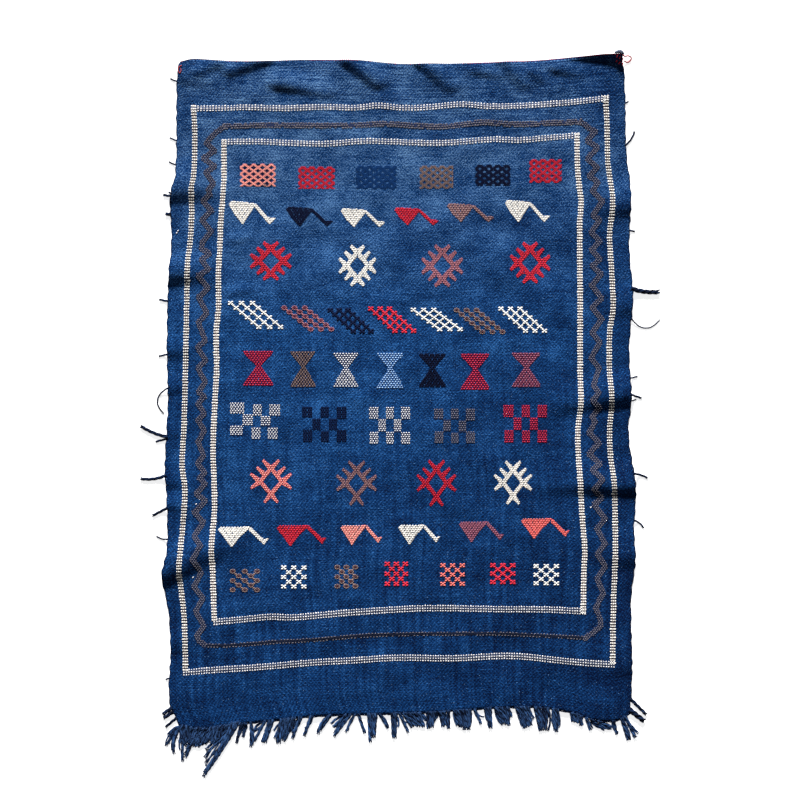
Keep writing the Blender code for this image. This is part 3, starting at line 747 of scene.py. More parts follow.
def band(start, end, width, overlap, at_start=1.0, at_end=1.0):
    """A straight quad from start to end, a little longer than its run, with a share of the width at each."""
    start, end = np.array(start, dtype=float), np.array(end, dtype=float)
    run = (end - start) / np.hypot(*(end - start))
    low_side = np.array((-run[1], run[0])) * width / 2 * at_start
    high_side = np.array((-run[1], run[0])) * width / 2 * at_end
    low = start - run * width * overlap
    high = end + run * width * overlap
    return [tuple(corner) for corner in (low + low_side, high + high_side, high - high_side, low - low_side)]


def stroke_polygons(path, width):
    """A band of even width along a path, as one quad for each run."""
    return [band(start, end, width, STROKE_OVERLAP) for start, end in zip(path, path[1:])]


def arm_polygons(path, width, centre):
    """Arms of a star, each of them tapering from its root, the end nearer the centre, to its tip."""
    runs = [sorted(run, key=lambda place: math.dist(place, centre)) for run in zip(path, path[1:])]
    return [band(root, tip, width, ARM_OVERLAP, ARM_ROOT, ARM_TIP) for root, tip in runs]


def without(pieces, holes):
    """Takes holes out of stretches."""
    left_over = []
    for left, right in pieces:
        for low, high in sorted(holes):
            if high <= left or low >= right:
                continue
            if low > left:
                left_over.append((left, low))
            left = high
        if left < right:
            left_over.append((left, right))
    return left_over


def no_holes(_):
    return []


def near(varied, value, scatter):
    return value + varied.uniform(-scatter, scatter)


def bed_stitches(left, right, y, fill):
    """Low stitches end to end, in pieces short enough to follow the cloth."""
    pieces = math.ceil((right - left) / BED_LENGTH)
    half = (right - left) / pieces / 2
    return [Stitch(left + half * (2 * piece + 1), y, half + BED_OVERLAP, BED_ROW * BED_SHARE, BED_HEIGHT, 0,
                   BED_TONE, fill.shade) for piece in range(pieces)]


def fill_with_floats(polygons, fill, varied, holes=no_holes):
    """Covers polygons with rows of short floats, set like bricks, on a smooth bed of the same yarn."""
    heights = [corner[1] for polygon in polygons for corner in polygon]
    top = max(heights)
    drop = top - min(heights)
    stitches = []
    bed_rows = max(1, round(drop / BED_ROW))
    for row in range(bed_rows):
        y = top - (row + 0.5) * drop / bed_rows
        for left, right in without(spans(polygons, y), holes(y)):
            if right - left > BED_ROW / 2:
                stitches.extend(bed_stitches(left, right, y, fill))
    rows = max(1, round(drop / fill.row))
    row_pitch = drop / rows
    for row in range(rows):
        y = top - (row + 0.5) * row_pitch
        for left, right in without(spans(polygons, y), holes(y)):
            first = math.floor(left / fill.pitch) - 1
            for order in range(first, first + int((right - left) / fill.pitch) + 4):
                begin = (order + 0.5 * (row % 2)) * fill.pitch
                low = max(begin, left)
                high = min(begin + fill.pitch, right)
                if high - low < fill.pitch * SHORTEST_FLOAT:
                    continue
                half = max((high - low) / 2 * fill.length, LEAST_HALF_LENGTH)
                stitches.append(Stitch(
                    near(varied, (low + high) / 2, FLOAT_SCATTER[0]), near(varied, y, FLOAT_SCATTER[1]),
                    half * varied.uniform(*FLOAT_LENGTHS), row_pitch / 2 * fill.width,
                    fill.height * varied.uniform(*FLOAT_HEIGHTS), fill.slant * varied.uniform(*FLOAT_SLANTS),
                    varied.uniform(*FLOAT_TONES), 0.0))
    return stitches


def in_box(motif, x_share, y_share):
    return (between(motif.left, motif.right, x_share), between(motif.top, motif.bottom, y_share))


def shape_stitches(motif, varied):
    motif = motif._replace(left=motif.left - SPREAD, top=motif.top + SPREAD, right=motif.right + SPREAD,
                           bottom=motif.bottom - SPREAD)
    polygons = [[in_box(motif, *corner) for corner in outline] for outline in SHAPES[motif.kind]]
    return {motif.yarn: fill_with_floats(polygons, FILLS[motif.kind], varied)}


def star_stitches(motif, varied):
    centre_x = (motif.left + motif.right) / 2
    centre_y = (motif.top + motif.bottom) / 2
    half_x = (motif.right - motif.left) / 2 - STAR_INSET
    half_y = (motif.top - motif.bottom) / 2 - STAR_INSET
    polygons = []
    for path in STROKES[motif.kind]:
        places = [(centre_x + x * half_x, centre_y + y * half_y) for x, y in path]
        if path[0] == path[-1]:
            polygons.extend(stroke_polygons(places, STAR_STROKES[motif.kind]))
        else:
            polygons.extend(arm_polygons(places, STAR_STROKES[motif.kind], (centre_x, centre_y)))
    return {motif.yarn: fill_with_floats(polygons, FILLS[motif.kind], varied)}


def lattice_stitches(motif, varied):
    """A rectangle of beaded diagonals with rows of diamond holes between them."""
    scale = HOLE_SCALES[motif.yarn]

    def holes(y):
        found = []
        for row in range(int((motif.top - motif.bottom) / HOLE_ROW) + 2):
            away = abs(y - (motif.top - HOLE_START[1] - row * HOLE_ROW)) / (HOLE_HALF_HEIGHT * scale)
            if away < 1:
                half = HOLE_HALF_WIDTH * scale * (1 - away)
                x = motif.left + HOLE_START[0] + (row % 2) * HOLE_PITCH / 2
                while x < motif.right + half:
                    found.append((x - half, x + half))
                    x += HOLE_PITCH
        return found

    box = [[(motif.left, motif.top), (motif.right, motif.top), (motif.right, motif.bottom),
            (motif.left, motif.bottom)]]
    made = {motif.yarn: fill_with_floats(box, FILLS["lattice"], varied, holes)}
    if motif.yarn == "peach":
        made["navy"] = flat_bed(motif)
    return made


def flat_bed(motif):
    """Low navy rows that show through a lattice's holes, partly darker weft and partly painted shade."""
    rows = round((motif.top - motif.bottom) / BED_ROW)
    centre_x = (motif.left + motif.right) / 2
    half = (motif.right - motif.left) / 2
    return [Stitch(centre_x, between(motif.top, motif.bottom, (row + 0.5) / rows), half, BED_ROW * BED_SHARE,
                   FLAT_BED_HEIGHT, 0, FLAT_BED_TONE, 0.0) for row in range(rows)]


def bead_blob(motif, x, y, varied, links=()):
    """Beads on a small bed, in a cross or in a ring; links are lower beads towards the next blobs."""
    ringed = motif.yarn in RINGED_YARNS
    half_length, half_width = [half * BEAD_SHARES[motif.yarn] for half in BEAD_HALF_SIZE]
    beads = [Stitch(x, y, *BLOB_BED)]
    beads.extend(Stitch(x + dx, y + dy, *BLOB_LINK) for dx, dy in links)
    for dx, dy in BEAD_RING if ringed else BEAD_CROSS:
        beads.append(Stitch(x + dx, y + dy, half_length * varied.uniform(0.9, 1.1),
                            half_width * varied.uniform(0.92, 1.08), BEAD_HEIGHT,
                            BEAD_SLANT * varied.uniform(-0.6, 1.4), varied.uniform(0.3, 0.95), 0.0))
    made = {motif.yarn: beads}
    if ringed:
        made["maroon"] = [Stitch(x, y, *BLOB_EYE)]
    return made


def add_all(kit, made):
    for yarn, stitches in made.items():
        kit.setdefault(yarn, []).extend(stitches)


def slanted_stitches(motif, varied):
    """A leaning lattice of bead blobs."""
    made = {}
    width = motif.right - motif.left
    height = motif.top - motif.bottom
    half_step = (width * SLANTED_STEP[0] / 2, -height * SLANTED_STEP[1] / 2)
    for across in range(SLANTED_ACROSS):
        for down in range(SLANTED_DOWN):
            x = motif.left + width * (SLANTED_START[0] + down * SLANTED_STEP[0] + across * SLANTED_SHIFT)
            y = motif.top - height * (SLANTED_START[1] + down * SLANTED_STEP[1])
            links = [half_step] if down < SLANTED_DOWN - 1 else []
            add_all(made, bead_blob(motif, x, y, varied, links))
    return made


def knot_stitches(motif, varied):
    """Small bead blobs, three and two to a row."""
    made = {}
    for row in range(KNOT_ROWS):
        y = between(motif.top - KNOT_INSET[1], motif.bottom + KNOT_INSET[1], row / (KNOT_ROWS - 1))
        for order in range(3 - row % 2):
            share = (order + 0.5 * (row % 2)) / 2
            x = between(motif.left + KNOT_INSET[0], motif.right - KNOT_INSET[0], share)
            link = (-KNOT_LINK[0] if order == 2 else KNOT_LINK[0], KNOT_LINK[1])
            linked = row < KNOT_ROWS - 1 and motif.yarn in RINGED_YARNS
            add_all(made, bead_blob(motif, x, y, varied, [link] if linked else []))
    return made


MOTIF_MAKERS = {
    "lattice": lattice_stitches, "slanted": slanted_stitches, "knots": knot_stitches,
    "star": star_stitches, "tall_star": star_stitches,
}


def line_places(points, pitch):
    """Even places on the smooth line through an edge's points, about a pitch apart."""
    start, end = points[0].along, points[-1].along
    count = round(abs(end - start) / pitch)
    for order in range(count + 1):
        along = between(start, end, order / count)
        yield along, edge_at(points, along)


def dotted_line(points, dots, varied):
    """Three lines of dots on a bed, along one line of the frames."""
    def placed(along, across):
        return (across, along) if dots.upright else (along, across)

    made = []
    for along, across in line_places(points, dots.pitch):
        bed = placed(dots.pitch * LINE_BED_OVERLAP, dots.step + dots.across * LINE_BED_REACH)
        made.append(Stitch(*placed(along, across), *bed, LINE_BED_HEIGHT, 0, dots.bed_tone, 1.0))
        for line in (-1, 0, 1):
            long = dots.long[0] <= varied.random() < dots.long[1]
            stretch = LONG_DOT if long else varied.uniform(*dots.acrosses)
            place = [near(varied, part, DOT_SCATTER) for part in placed(along, across + line * dots.step)]
            size = placed(dots.along * varied.uniform(*dots.alongs), dots.across * stretch)
            made.append(Stitch(*place, *size, dots.height, dots.slant * varied.uniform(*DOT_SLANTS),
                               varied.uniform(*DOT_TONES), 0.0))
    return made


def zigzag_path(points):
    """Turns the outer tips of a zigzag into the middle line of its band, a little rounded."""
    inset = [points[0]]
    for before, tip, after in zip(points, points[1:], points[2:]):
        lean = (tip[0] - before[0]) + (tip[0] - after[0])
        shift = max(-ZIGZAG_INSET, min(ZIGZAG_INSET, lean / 4))
        inset.append((tip[0] - shift, tip[1]))
    inset.append(points[-1])
    return inset


# The brown lines' dots: half their size, how they vary, what share of them is there, and their bed
BROWN_DOT = (2.7, 1.8)
BROWN_HEIGHT = 1.3
BROWN_SLANT = 20
BROWN_SCATTER = 0.5
BROWN_CHANCE = 0.9
BROWN_BED_OVERLAP = 0.62
BROWN_BED_HEIGHT = 0.5


def brown_line(points, line, varied):
    """Rows of brown dots on a dark bed, across the rug between the frames."""
    made = []
    for x, y in line_places(points, line.pitch):
        slope = math.degrees(math.atan2(edge_at(points, min(x + 2, points[-1].along)) - y, 2))
        made.append(Stitch(x, y, line.pitch * BROWN_BED_OVERLAP, line.bed, BROWN_BED_HEIGHT, slope,
                           line.bed_tone, 1.0))
        for row in line.rows:
            shift = line.pitch / 2 * (row % 2)
            if varied.random() < BROWN_CHANCE:
                made.append(Stitch(near(varied, x + shift, BROWN_SCATTER),
                                   near(varied, y + row * line.step, BROWN_SCATTER),
                                   BROWN_DOT[0] * line.dot * varied.uniform(0.7, 1.2),
                                   BROWN_DOT[1] * line.dot * varied.uniform(0.7, 1.15), BROWN_HEIGHT,
                                   BROWN_SLANT * varied.uniform(-1, 1.5), varied.uniform(0.0, 0.7), 0.1))
    return made


BROCADE_SEED = 23


def build_brocade(materials):
    """One piece for each yarn's motifs, then the frames and the brown bands."""
    varied = random.Random(BROCADE_SEED)

    def build(name, stitches, yarn):
        build_stitches(name, stitches, materials[yarn])

    kit = {}
    for motif in MOTIFS:
        add_all(kit, MOTIF_MAKERS.get(motif.kind, shape_stitches)(motif, varied))
    for yarn, stitches in kit.items():
        build("brocade_" + yarn, stitches, yarn)
    frames = []
    for line, size in ((OUTER_TOP, UPPER_DOTS), (INNER_TOP, UPPER_DOTS),
                       (INNER_BOTTOM, LOWER_DOTS), (OUTER_BOTTOM, LOWER_DOTS)):
        frames.extend(dotted_line(line, size, varied))
    sides = []
    for line, size in ((OUTER_LEFT, OUTER_SIDE_DOTS), (OUTER_RIGHT, OUTER_SIDE_DOTS),
                       (INNER_LEFT, INNER_SIDE_DOTS), (INNER_RIGHT, INNER_SIDE_DOTS)):
        sides.extend(dotted_line(line, size, varied))
    build("frame_sides", sides, "warm_white")
    frames.extend(Stitch(x, y, *FLECK) for x, y in FLECKS)
    build("frame_dots", frames, "white")
    bands = []
    for path in (LEFT_ZIGZAG, RIGHT_ZIGZAG):
        polygons = stroke_polygons(zigzag_path(path), ZIGZAG_BAND)
        bands.extend(fill_with_floats(polygons, FILLS["zigzag"], varied))
    for line, size in ((BROWN_TOP, UPPER_BROWN), (BROWN_BOTTOM, LOWER_BROWN)):
        bands.extend(brown_line(line, size, varied))
    build("zigzag_band", bands, "taupe")


# Loose yarn

# Tubes: their sides, and how they lie in the yarn's map, in metres
STRAND_SIDES = 5
HAIR_SIDES = 3
CORD_SIDES = 8
ROOT_SHADOW_SIDES = 6
TUBE_STEP = 0.0173
TUBE_GIRTH = 0.006
TUBE_LEVEL = 0.6


def smooth_path(points, steps):
    """Reads a smooth curve through points, with so many steps between two of them."""
    points = np.asarray(points, dtype=float)
    padded = np.concatenate((points[:1], points, points[-1:]))
    places = []
    for index in range(len(points) - 1):
        before, low, high, after = padded[index:index + 4]
        for step in range(steps):
            hold_low, hold_high, lean_low, lean_high = curve_weights(step / steps)
            places.append(hold_low * low + hold_high * high
                          + lean_low * (high - before) / 2 + lean_high * (after - low) / 2)
    places.append(points[-1])
    return np.array(places)


def path_frames(points):
    """Unit vectors along a path, sideways from it and over it."""
    ahead = np.gradient(points, axis=0)
    ahead /= np.maximum(np.linalg.norm(ahead, axis=1, keepdims=True), 1e-9)
    side = np.cross(ahead, UP)
    length = np.linalg.norm(side, axis=1, keepdims=True)
    side = np.where(length > 0.05, side / np.maximum(length, 1e-9), np.array((1.0, 0.0, 0.0)))
    return side, np.cross(side, ahead)


Tube = namedtuple("Tube", "points radii tone")


def path_lengths(points):
    """How far along a path each of its points lies."""
    return np.concatenate(([0.0], np.cumsum(np.linalg.norm(np.diff(points, axis=0), axis=1))))


def build_tubes(name, tubes, sides, material):
    """Joins closed tubes of varying radius into one piece."""
    turns = np.arange(sides) * 2 * math.pi / sides
    vertices = []
    faces = []
    uv = []
    colour = []
    start = 0
    for order, tube in enumerate(tubes):
        points = np.asarray(tube.points, dtype=float)
        side, over = [part[:, None, :] for part in path_frames(points)]
        ring = side * np.cos(turns)[:, None] + over * np.sin(turns)[:, None]
        rings = points[:, None, :] + ring * np.asarray(tube.radii, dtype=float)[:, None, None]
        vertices.append(rings.reshape(-1, 3))
        for length in path_lengths(points):
            uv.extend((length * MM + order * TUBE_STEP, turn / sides * TUBE_GIRTH) for turn in range(sides))
        count = len(points)
        colour.extend([(tube.tone, 0.0, TUBE_LEVEL, 1.0)] * (count * sides))
        for low in range(start, start + (count - 1) * sides, sides):
            for turn in range(sides):
                ahead = (turn + 1) % sides
                faces.append((low + turn, low + ahead, low + sides + ahead, low + sides + turn))
        faces.append(tuple(start + turn for turn in reversed(range(sides))))
        faces.append(tuple(start + (count - 1) * sides + turn for turn in range(sides)))
        start += count * sides
    item = link_mesh(name, np.concatenate(vertices), faces, material)
    write_corner_uv(item.data, "yarn", uv)
    write_colour(item.data, "look", colour)
    return item


# A strand: its plies and their twist, how far they stand out and how thick they are as shares of its width,
# how flat it lies, and how it opens and thins towards the tip
PLIES = 3
STRAND_STEPS = 3
STRAND_TONES = (0.1, 0.75)
TWIST_PITCH = 40.0
PLY_OFFSET = 0.23
PLY_RADIUS = 0.29
FLATNESS = 0.7
OPENS_FROM = 0.8
OPENS_BY = 0.8
THIN_FROM = 0.93
THIN_TIP = 0.6
FLOOR_GAP = 0.05

# Stray fibres: how many for each strand, the steps between a route's points and in a fibre, and how far it
# reaches sideways, sways in x and y, and rises
HAIRS = 4
HAIR_PATH_STEPS = 5
HAIR_STEPS = 5
HAIR_REACH = (1.0, 4.0)
HAIR_SWAY = ((-1.5, 1.5), (-3.0, 0.5))
HAIR_RISE = (0, 1.5)
HAIR_CURL = 1.5
HAIR_HEIGHT = 0.3
HAIR_RADII = (0.28, 0.12)
HAIR_TONES = (0.2, 0.9)

# Where a route is read, what share of the way a strand takes to fall to the floor, and its height there
ROUTE_SHARES = (-0.06, 0.0, 0.15, 0.35, 0.6, 0.8, 1.0)
FALL_SHARE = 0.4
REST_HEIGHT = 0.42


def strand_tubes(path, root_width, tip_width, varied):
    """Plies twisted round each other along a path, opening at the tip."""
    points = smooth_path(path, STRAND_STEPS)
    side, over = path_frames(points)
    lengths = path_lengths(points)
    share = lengths / lengths[-1]
    width = between(root_width, tip_width, share)
    open_out = 1 + OPENS_BY * np.clip((share - OPENS_FROM) / (1 - OPENS_FROM), 0, 1) ** 2
    start = varied.uniform(0, 2 * math.pi)
    tubes = []
    for ply in range(PLIES):
        turn = start + ply * 2 * math.pi / PLIES + lengths / TWIST_PITCH * 2 * math.pi
        offset = side * np.cos(turn)[:, None] + over * np.sin(turn)[:, None] * FLATNESS
        centre = points + offset * (width * PLY_OFFSET * open_out)[:, None]
        radii = width * PLY_RADIUS * np.where(share > THIN_FROM, THIN_TIP, 1.0)
        centre[:, 2] = np.maximum(centre[:, 2], radii + FLOOR_GAP)
        tubes.append(Tube(centre, radii, varied.uniform(*STRAND_TONES)))
    return tubes


def hair_tubes(path, varied):
    """Fine stray fibres along a strand."""
    points = smooth_path(path, HAIR_PATH_STEPS)
    side, _ = path_frames(points)
    tubes = []
    for _ in range(HAIRS):
        first = varied.randrange(1, max(2, len(points) - HAIR_STEPS))
        last = first + HAIR_STEPS + 1
        piece = points[first:last].copy()
        away = np.linspace(0, 1, len(piece))[:, None] ** HAIR_CURL
        piece += side[first:last] * away * varied.choice((-1, 1)) * varied.uniform(*HAIR_REACH)
        piece[:, :2] += away * np.array([varied.uniform(*sway) for sway in HAIR_SWAY])
        piece[:, 2] = np.maximum(piece[:, 2] + away[:, 0] * varied.uniform(*HAIR_RISE), HAIR_HEIGHT)
        tubes.append(Tube(piece, np.linspace(*HAIR_RADII, len(piece)), varied.uniform(*HAIR_TONES)))
    return tubes


def strand_route(root, tip, bow, root_lift, width):
    """A strand's path: out of the cloth, down to the floor and along it to the tip."""
    run = tip - root
    sideways = np.array((run[1], -run[0])) / np.hypot(*run)
    rest = width * REST_HEIGHT
    route = []
    for share in ROUTE_SHARES:
        x, y = root + run * share + sideways * (bow * 4 * share * (1 - share))
        fall = max(0.0, 1 - max(share, 0.0) / FALL_SHARE)
        route.append((x, y, rest + max(root_lift + THICKNESS / 2 - rest, 0.0) * fall ** 1.5))
    return np.array(route)


def fringe_routes():
    """Paths and widths of all the fringe's strands."""
    varied = random.Random(FRINGE_SEED)
    routes = []
    for lock in FRINGE_LOCKS:
        pitch = (lock.right - lock.left) / lock.strands
        width = min(FRINGE_ROOT_WIDTH, pitch * ROOT_FILL)
        for order in range(lock.strands):
            root_x = lock.left + pitch * (order + 0.5)
            side = (order + 0.5) / lock.strands - 0.5
            variation = varied.uniform(-DROP_VARIATION, DROP_VARIATION) if lock.strands > 1 else 0.0
            root = np.array((root_x, edge_at(FRINGE_EDGE, root_x) - FRINGE_MARGIN))
            drop = FRINGE_MARGIN - lock.drop * (1 + variation)
            tip = np.array((lock.tip + lock.spread * side, root[1] + drop))
            lift = float(lift_at(*root))
            routes.append((strand_route(root, tip, lock.bow, lift, width), width * FULLNESS))
            for _ in range(FILLERS):
                start = root + np.array((varied.uniform(-0.5, 0.5) * pitch, 0.0))
                shift = (varied.uniform(*FILLER_TIPS), varied.uniform(*FILLER_DROPS) * lock.drop)
                end = tip + np.array(shift)
                bow = lock.bow + varied.uniform(*FILLER_BOWS)
                routes.append((strand_route(start, end, bow, lift, width),
                               width * varied.uniform(*FILLER_WIDTHS)))
    for order in range(TANGLE):
        share = (order + varied.uniform(-0.5, 0.5)) / TANGLE
        root_x = between(*TANGLE_ROOTS, share)
        root = np.array((root_x, edge_at(FRINGE_EDGE, root_x)))
        tip = root + np.array((varied.uniform(*TANGLE_RUNS) * share, varied.uniform(*TANGLE_DROPS)))
        tip[0] = max(tip[0], TANGLE_LEFT_END)
        width = varied.uniform(*TANGLE_WIDTHS)
        routes.append((strand_route(root, tip, varied.uniform(*TANGLE_BOWS), 1.0, width), width))
    return routes


def side_routes(ends, edge, outward):
    """Paths and widths of the loose weft ends on one side."""
    routes = []
    for end in ends:
        root = np.array((edge_at(edge, end.root_y) + outward * SIDE_MARGIN, end.root_y))
        tip = np.array((end.tip_x, end.tip_y))
        routes.append((strand_route(root, tip, end.bow, float(lift_at(*root)), end.width),
                       end.width * END_FULLNESS))
    return routes


def build_loose_yarn(name, routes, node, material, varied):
    """The strands that stand for a node, and their stray fibres as a piece of their own."""
    tubes = []
    hairs = []
    for route, width in routes:
        tubes.extend(strand_tubes(route, width, width * TIP_SHARE, varied))
        hairs.extend(hair_tubes(route, varied))
    item = build_tubes(name, tubes, STRAND_SIDES, material)
    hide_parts(node)
    build_tubes(name + "_hairs", hairs, HAIR_SIDES, material)


# The cord in each side
CORD_INSET = 1.0
CORD_RADIUS = 1.5

# A painted shadow under the cut end, an uneven dark cord: how far it keeps from the corners, its steps,
# places, radii and height
ROOT_SHADOW_SEED = 53
ROOT_SHADOW_INSET = 6
ROOT_SHADOW_STEPS = 260
ROOT_SHADOW_DROP = (0.0, 1.6)
ROOT_SHADOW_RADII = (0.9, 1.8)
ROOT_SHADOW_LIFT = 1.9


def build_selvedges(material):
    """A thin dark cord along each side of the cloth."""
    _, _, places = cloth_places()
    tubes = []
    for line in (places[:, 0], places[:, -1]):
        points = np.column_stack((line, surface_at(line[:, 0], line[:, 1]) - THICKNESS / 2))
        points[:, 0] -= np.sign(points[:, 0]) * CORD_INSET
        tubes.append(Tube(points, np.full(len(points), CORD_RADIUS), 0.4))
    build_tubes("selvedge_cords", tubes, CORD_SIDES, material)


def build_fringe_root_shadow(material):
    """A dark, uneven cord under the cloth's cut end, between the strands, as painted shadow."""
    varied = random.Random(ROOT_SHADOW_SEED)
    xs = np.linspace(FRINGE_EDGE[0].along + ROOT_SHADOW_INSET, FRINGE_EDGE[-1].along - ROOT_SHADOW_INSET, ROOT_SHADOW_STEPS)
    ys = np.array([edge_at(FRINGE_EDGE, x) - FRINGE_MARGIN - varied.uniform(*ROOT_SHADOW_DROP) for x in xs])
    radii = np.array([varied.uniform(*ROOT_SHADOW_RADII) for _ in xs])
    points = np.column_stack((xs, ys, lift_at(xs, ys) + ROOT_SHADOW_LIFT))
    # The cord takes the darkest tone of the dark strand colour, as painted shadow
    build_tubes("fringe_root_shadow", [Tube(points, radii, 0.0)], ROOT_SHADOW_SIDES, material)


HEM_SEED = 31


def build_hem_stitches(materials):
    """Overcast stitches over the hem's edge, brown at the left and red towards the right."""
    varied = random.Random(HEM_SEED)
    red = []
    brown = []
    x = HEM_EDGE[0].along + 2
    while x < HEM_EDGE[-1].along - 2:
        reddish = x > RED_FROM or RED_PATCH[0] < x < RED_PATCH[1] or varied.random() < STRAY_RED
        (red if reddish else brown).append(
            Stitch(x, edge_at(HEM_EDGE, x) - HEM_INSET, *HEM_STITCH, varied.uniform(0.0, 0.6), 0.6))
        x += varied.uniform(*HEM_PITCH)
    red.extend(Stitch(x, y, *CORNER_STITCH) for x, y in CORNER_STITCHES)
    build_stitches("hem_overcast_red", red, materials["crimson"])
    build_stitches("hem_overcast_brown", brown, materials["brown"])


def on_cloth(places, lift):
    return [(x, y, float(surface_at(x, y)) + lift) for x, y in places]


def build_corner(material, knot_material):
    """The wound knot and thread loop at the hem's right corner, and the small hook at the left one."""
    axis = smooth_path(on_cloth(CORNER_KNOT, -KNOT_SINK), KNOT_STEPS)
    side, over = path_frames(axis)
    share = np.linspace(0, 1, len(axis))
    swell = KNOT_RADIUS + KNOT_SWELL * np.sin(share * math.pi)
    turn = share * 2 * math.pi * KNOT_TURNS
    coil = axis + (side * np.cos(turn)[:, None] + over * np.sin(turn)[:, None]) * swell[:, None]
    knot = [Tube(axis, swell, 0.9), Tube(coil, np.full(len(coil), COIL_RADIUS), 0.9)]
    build_tubes("corner_knot", knot, CORD_SIDES, knot_material)
    threads = []
    for places, radius in ((CORNER_LOOP, LOOP_RADIUS), (on_cloth(LEFT_HOOK, HOOK_LIFT), HOOK_RADIUS)):
        path = smooth_path(places, THREAD_STEPS)
        threads.append(Tube(path, np.full(len(path), radius), 0.8))
    item = build_tubes("corner_thread", threads, CORD_SIDES, material)
    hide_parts("corner_loop")


# Materials

class Graph:
    """Short calls for building a material's nodes."""

    def __init__(self, name):
        self.material = bpy.data.materials.new(name)
        self.material.use_nodes = True
        self.tree = self.material.node_tree
        self.shader = self.tree.nodes["Principled BSDF"]

    def node(self, kind, **settings):
        made = self.tree.nodes.new(kind)
        for name, value in settings.items():
            setattr(made, name, value)
        return made

    def put(self, socket, value):
        if isinstance(value, bpy.types.NodeSocket):
            self.tree.links.new(value, socket)
        else:
            socket.default_value = value

    def math(self, operation, *values, clamp=False):
        made = self.node("ShaderNodeMath", operation=operation, use_clamp=clamp)
        for socket, value in zip(made.inputs, values):
            self.put(socket, value)
        return made.outputs[0]

    def mix(self, share, low, high, blend="MIX"):
        made = self.node("ShaderNodeMix", data_type="RGBA", blend_type=blend)
        self.put(made.inputs[0], share)
        self.put(made.inputs[6], low)
        self.put(made.inputs[7], high)
        return made.outputs[2]

    def span(self, value, low, high, to_low=0.0, to_high=1.0):
        made = self.node("ShaderNodeMapRange")
        for socket, item in zip(made.inputs, (value, low, high, to_low, to_high)):
            self.put(socket, item)
        return made.outputs[0]

    def split(self, vector):
        made = self.node("ShaderNodeSeparateXYZ")
        self.put(made.inputs[0], vector)
        return made.outputs

    def join(self, x, y, z=0.0):
        made = self.node("ShaderNodeCombineXYZ")
        for socket, value in zip(made.inputs, (x, y, z)):
            self.put(socket, value)
        return made.outputs[0]

    def noise(self, vector, scale, detail=2.0, roughness=0.5):
        made = self.node("ShaderNodeTexNoise")
        self.put(made.inputs["Vector"], vector)
        for name, value in (("Scale", scale), ("Detail", detail), ("Roughness", roughness)):
            made.inputs[name].default_value = value
        return made.outputs[0]

    def look(self):
        """The tone, bed and level that each stitch or tube carries; the level sets a stitch's painted rim
        shade.
        """
        return self.node("ShaderNodeAttribute", attribute_name="look").outputs["Color"]

    def uv(self, name):
        return self.node("ShaderNodeUVMap", uv_map=name).outputs[0]

    def stretched(self, place, per_metre_x, per_metre_y, detail=2.0):
        """Noise with so many cells a metre along each axis of a map."""
        x, y, _ = self.split(place)
        spot = self.join(self.math("MULTIPLY", x, per_metre_x), self.math("MULTIPLY", y, per_metre_y))
        return self.noise(spot, 1.0, detail, 0.6)

    def bump(self, height, distance):
        made = self.node("ShaderNodeBump")
        made.inputs["Strength"].default_value = 1.0
        made.inputs["Distance"].default_value = distance
        self.put(made.inputs["Height"], height)
        self.put(self.shader.inputs["Normal"], made.outputs[0])

    def finish(self, colour, roughness, sheen=0.0):
        for name, value in (("Base Color", colour), ("Roughness", roughness), ("Specular IOR Level", 0.08),
                            ("Sheen Weight", sheen), ("Sheen Roughness", 0.6)):
            self.put(self.shader.inputs[name], value)
        return self.material


def linear(colour, scale=1.0):
    """Turns a screen colour of 0 to 255 into the linear one that shaders take."""
    parts = []
    for value in colour:
        share = value / 255
        parts.append(scale * (share / 12.92 if share <= 0.04045 else ((share + 0.055) / 1.055) ** 2.4))
    return (*parts, 1.0)


# The ground's weave: the beads' wave lengths across and along, how far noise shifts them and how much they
# lean, and the colours from the darkest to the lightest, which changes down the rug: near the hem it is
# paler, a painted sheen
WEAVE_ACROSS = 8.3
WEAVE_ALONG = 9.0
WEAVE_JITTER = 9.0
LEAN = (0.54, 0.86)
LEAN_SUM = 1.2
GROUND_LOW = (1, 14, 48)
GROUND_MIDDLE = (14, 60, 114)
GROUND_HIGH_UPPER_SHEEN = (106, 146, 190)
GROUND_HIGH_LOWER = (62, 124, 194)
SPECK_COLOUR = (150, 195, 240)

# The ground's noises: cells a metre across and along, and their detail
GROUND_NOISES = {
    "fibre": (430.0, 520.0, 1.0), "slub": (70.0, 300.0, 2.0), "thread": (11.0, 330.0, 1.0),
    "streak": (110.0, 5.0, 2.0), "cloud": (16.0, 16.0, 4.0), "band": (1.5, 18.0, 3.0)}

# How each one weighs in the tone: two places along the rug, in metres from the hem, and the weights there
GROUND_WEIGHTS = {
    "bead": (0.4, 1.1, 0.105, 0.14), "fibre": (0.4, 1.1, 2.0, 1.25), "slub": (0.0, 1.0, 0.80, 0.80),
    "thread": (0.08, 0.24, 1.0, 0.45), "streak": (0.4, 1.25, 0.15, 0.75), "cloud": (0.4, 1.1, 0.90, 0.60),
    "band": (0.0, 1.0, 0.35, 0.35)}

# The tone itself and its broad shifts: an axis, two places on it and the tones there. The tone itself falls
# towards the fringe end as painted shade for the key light's falloff
GROUND_TONES = (
    ("along", 0.45, 1.30, 0.50, 0.31), ("along", 0.10, 0.20, -0.01, 0.06), ("along", 0.24, 0.40, 0.0, -0.08),
    ("across", 0.45, 0.95, 0.02, -0.08), ("across", 0.93, 1.0, 0.0, -0.07), ("across", 0.0, 0.08, -0.11, 0.0))
WOOL_RELIEF = 0.0008
YARN_RELIEF = 0.0004

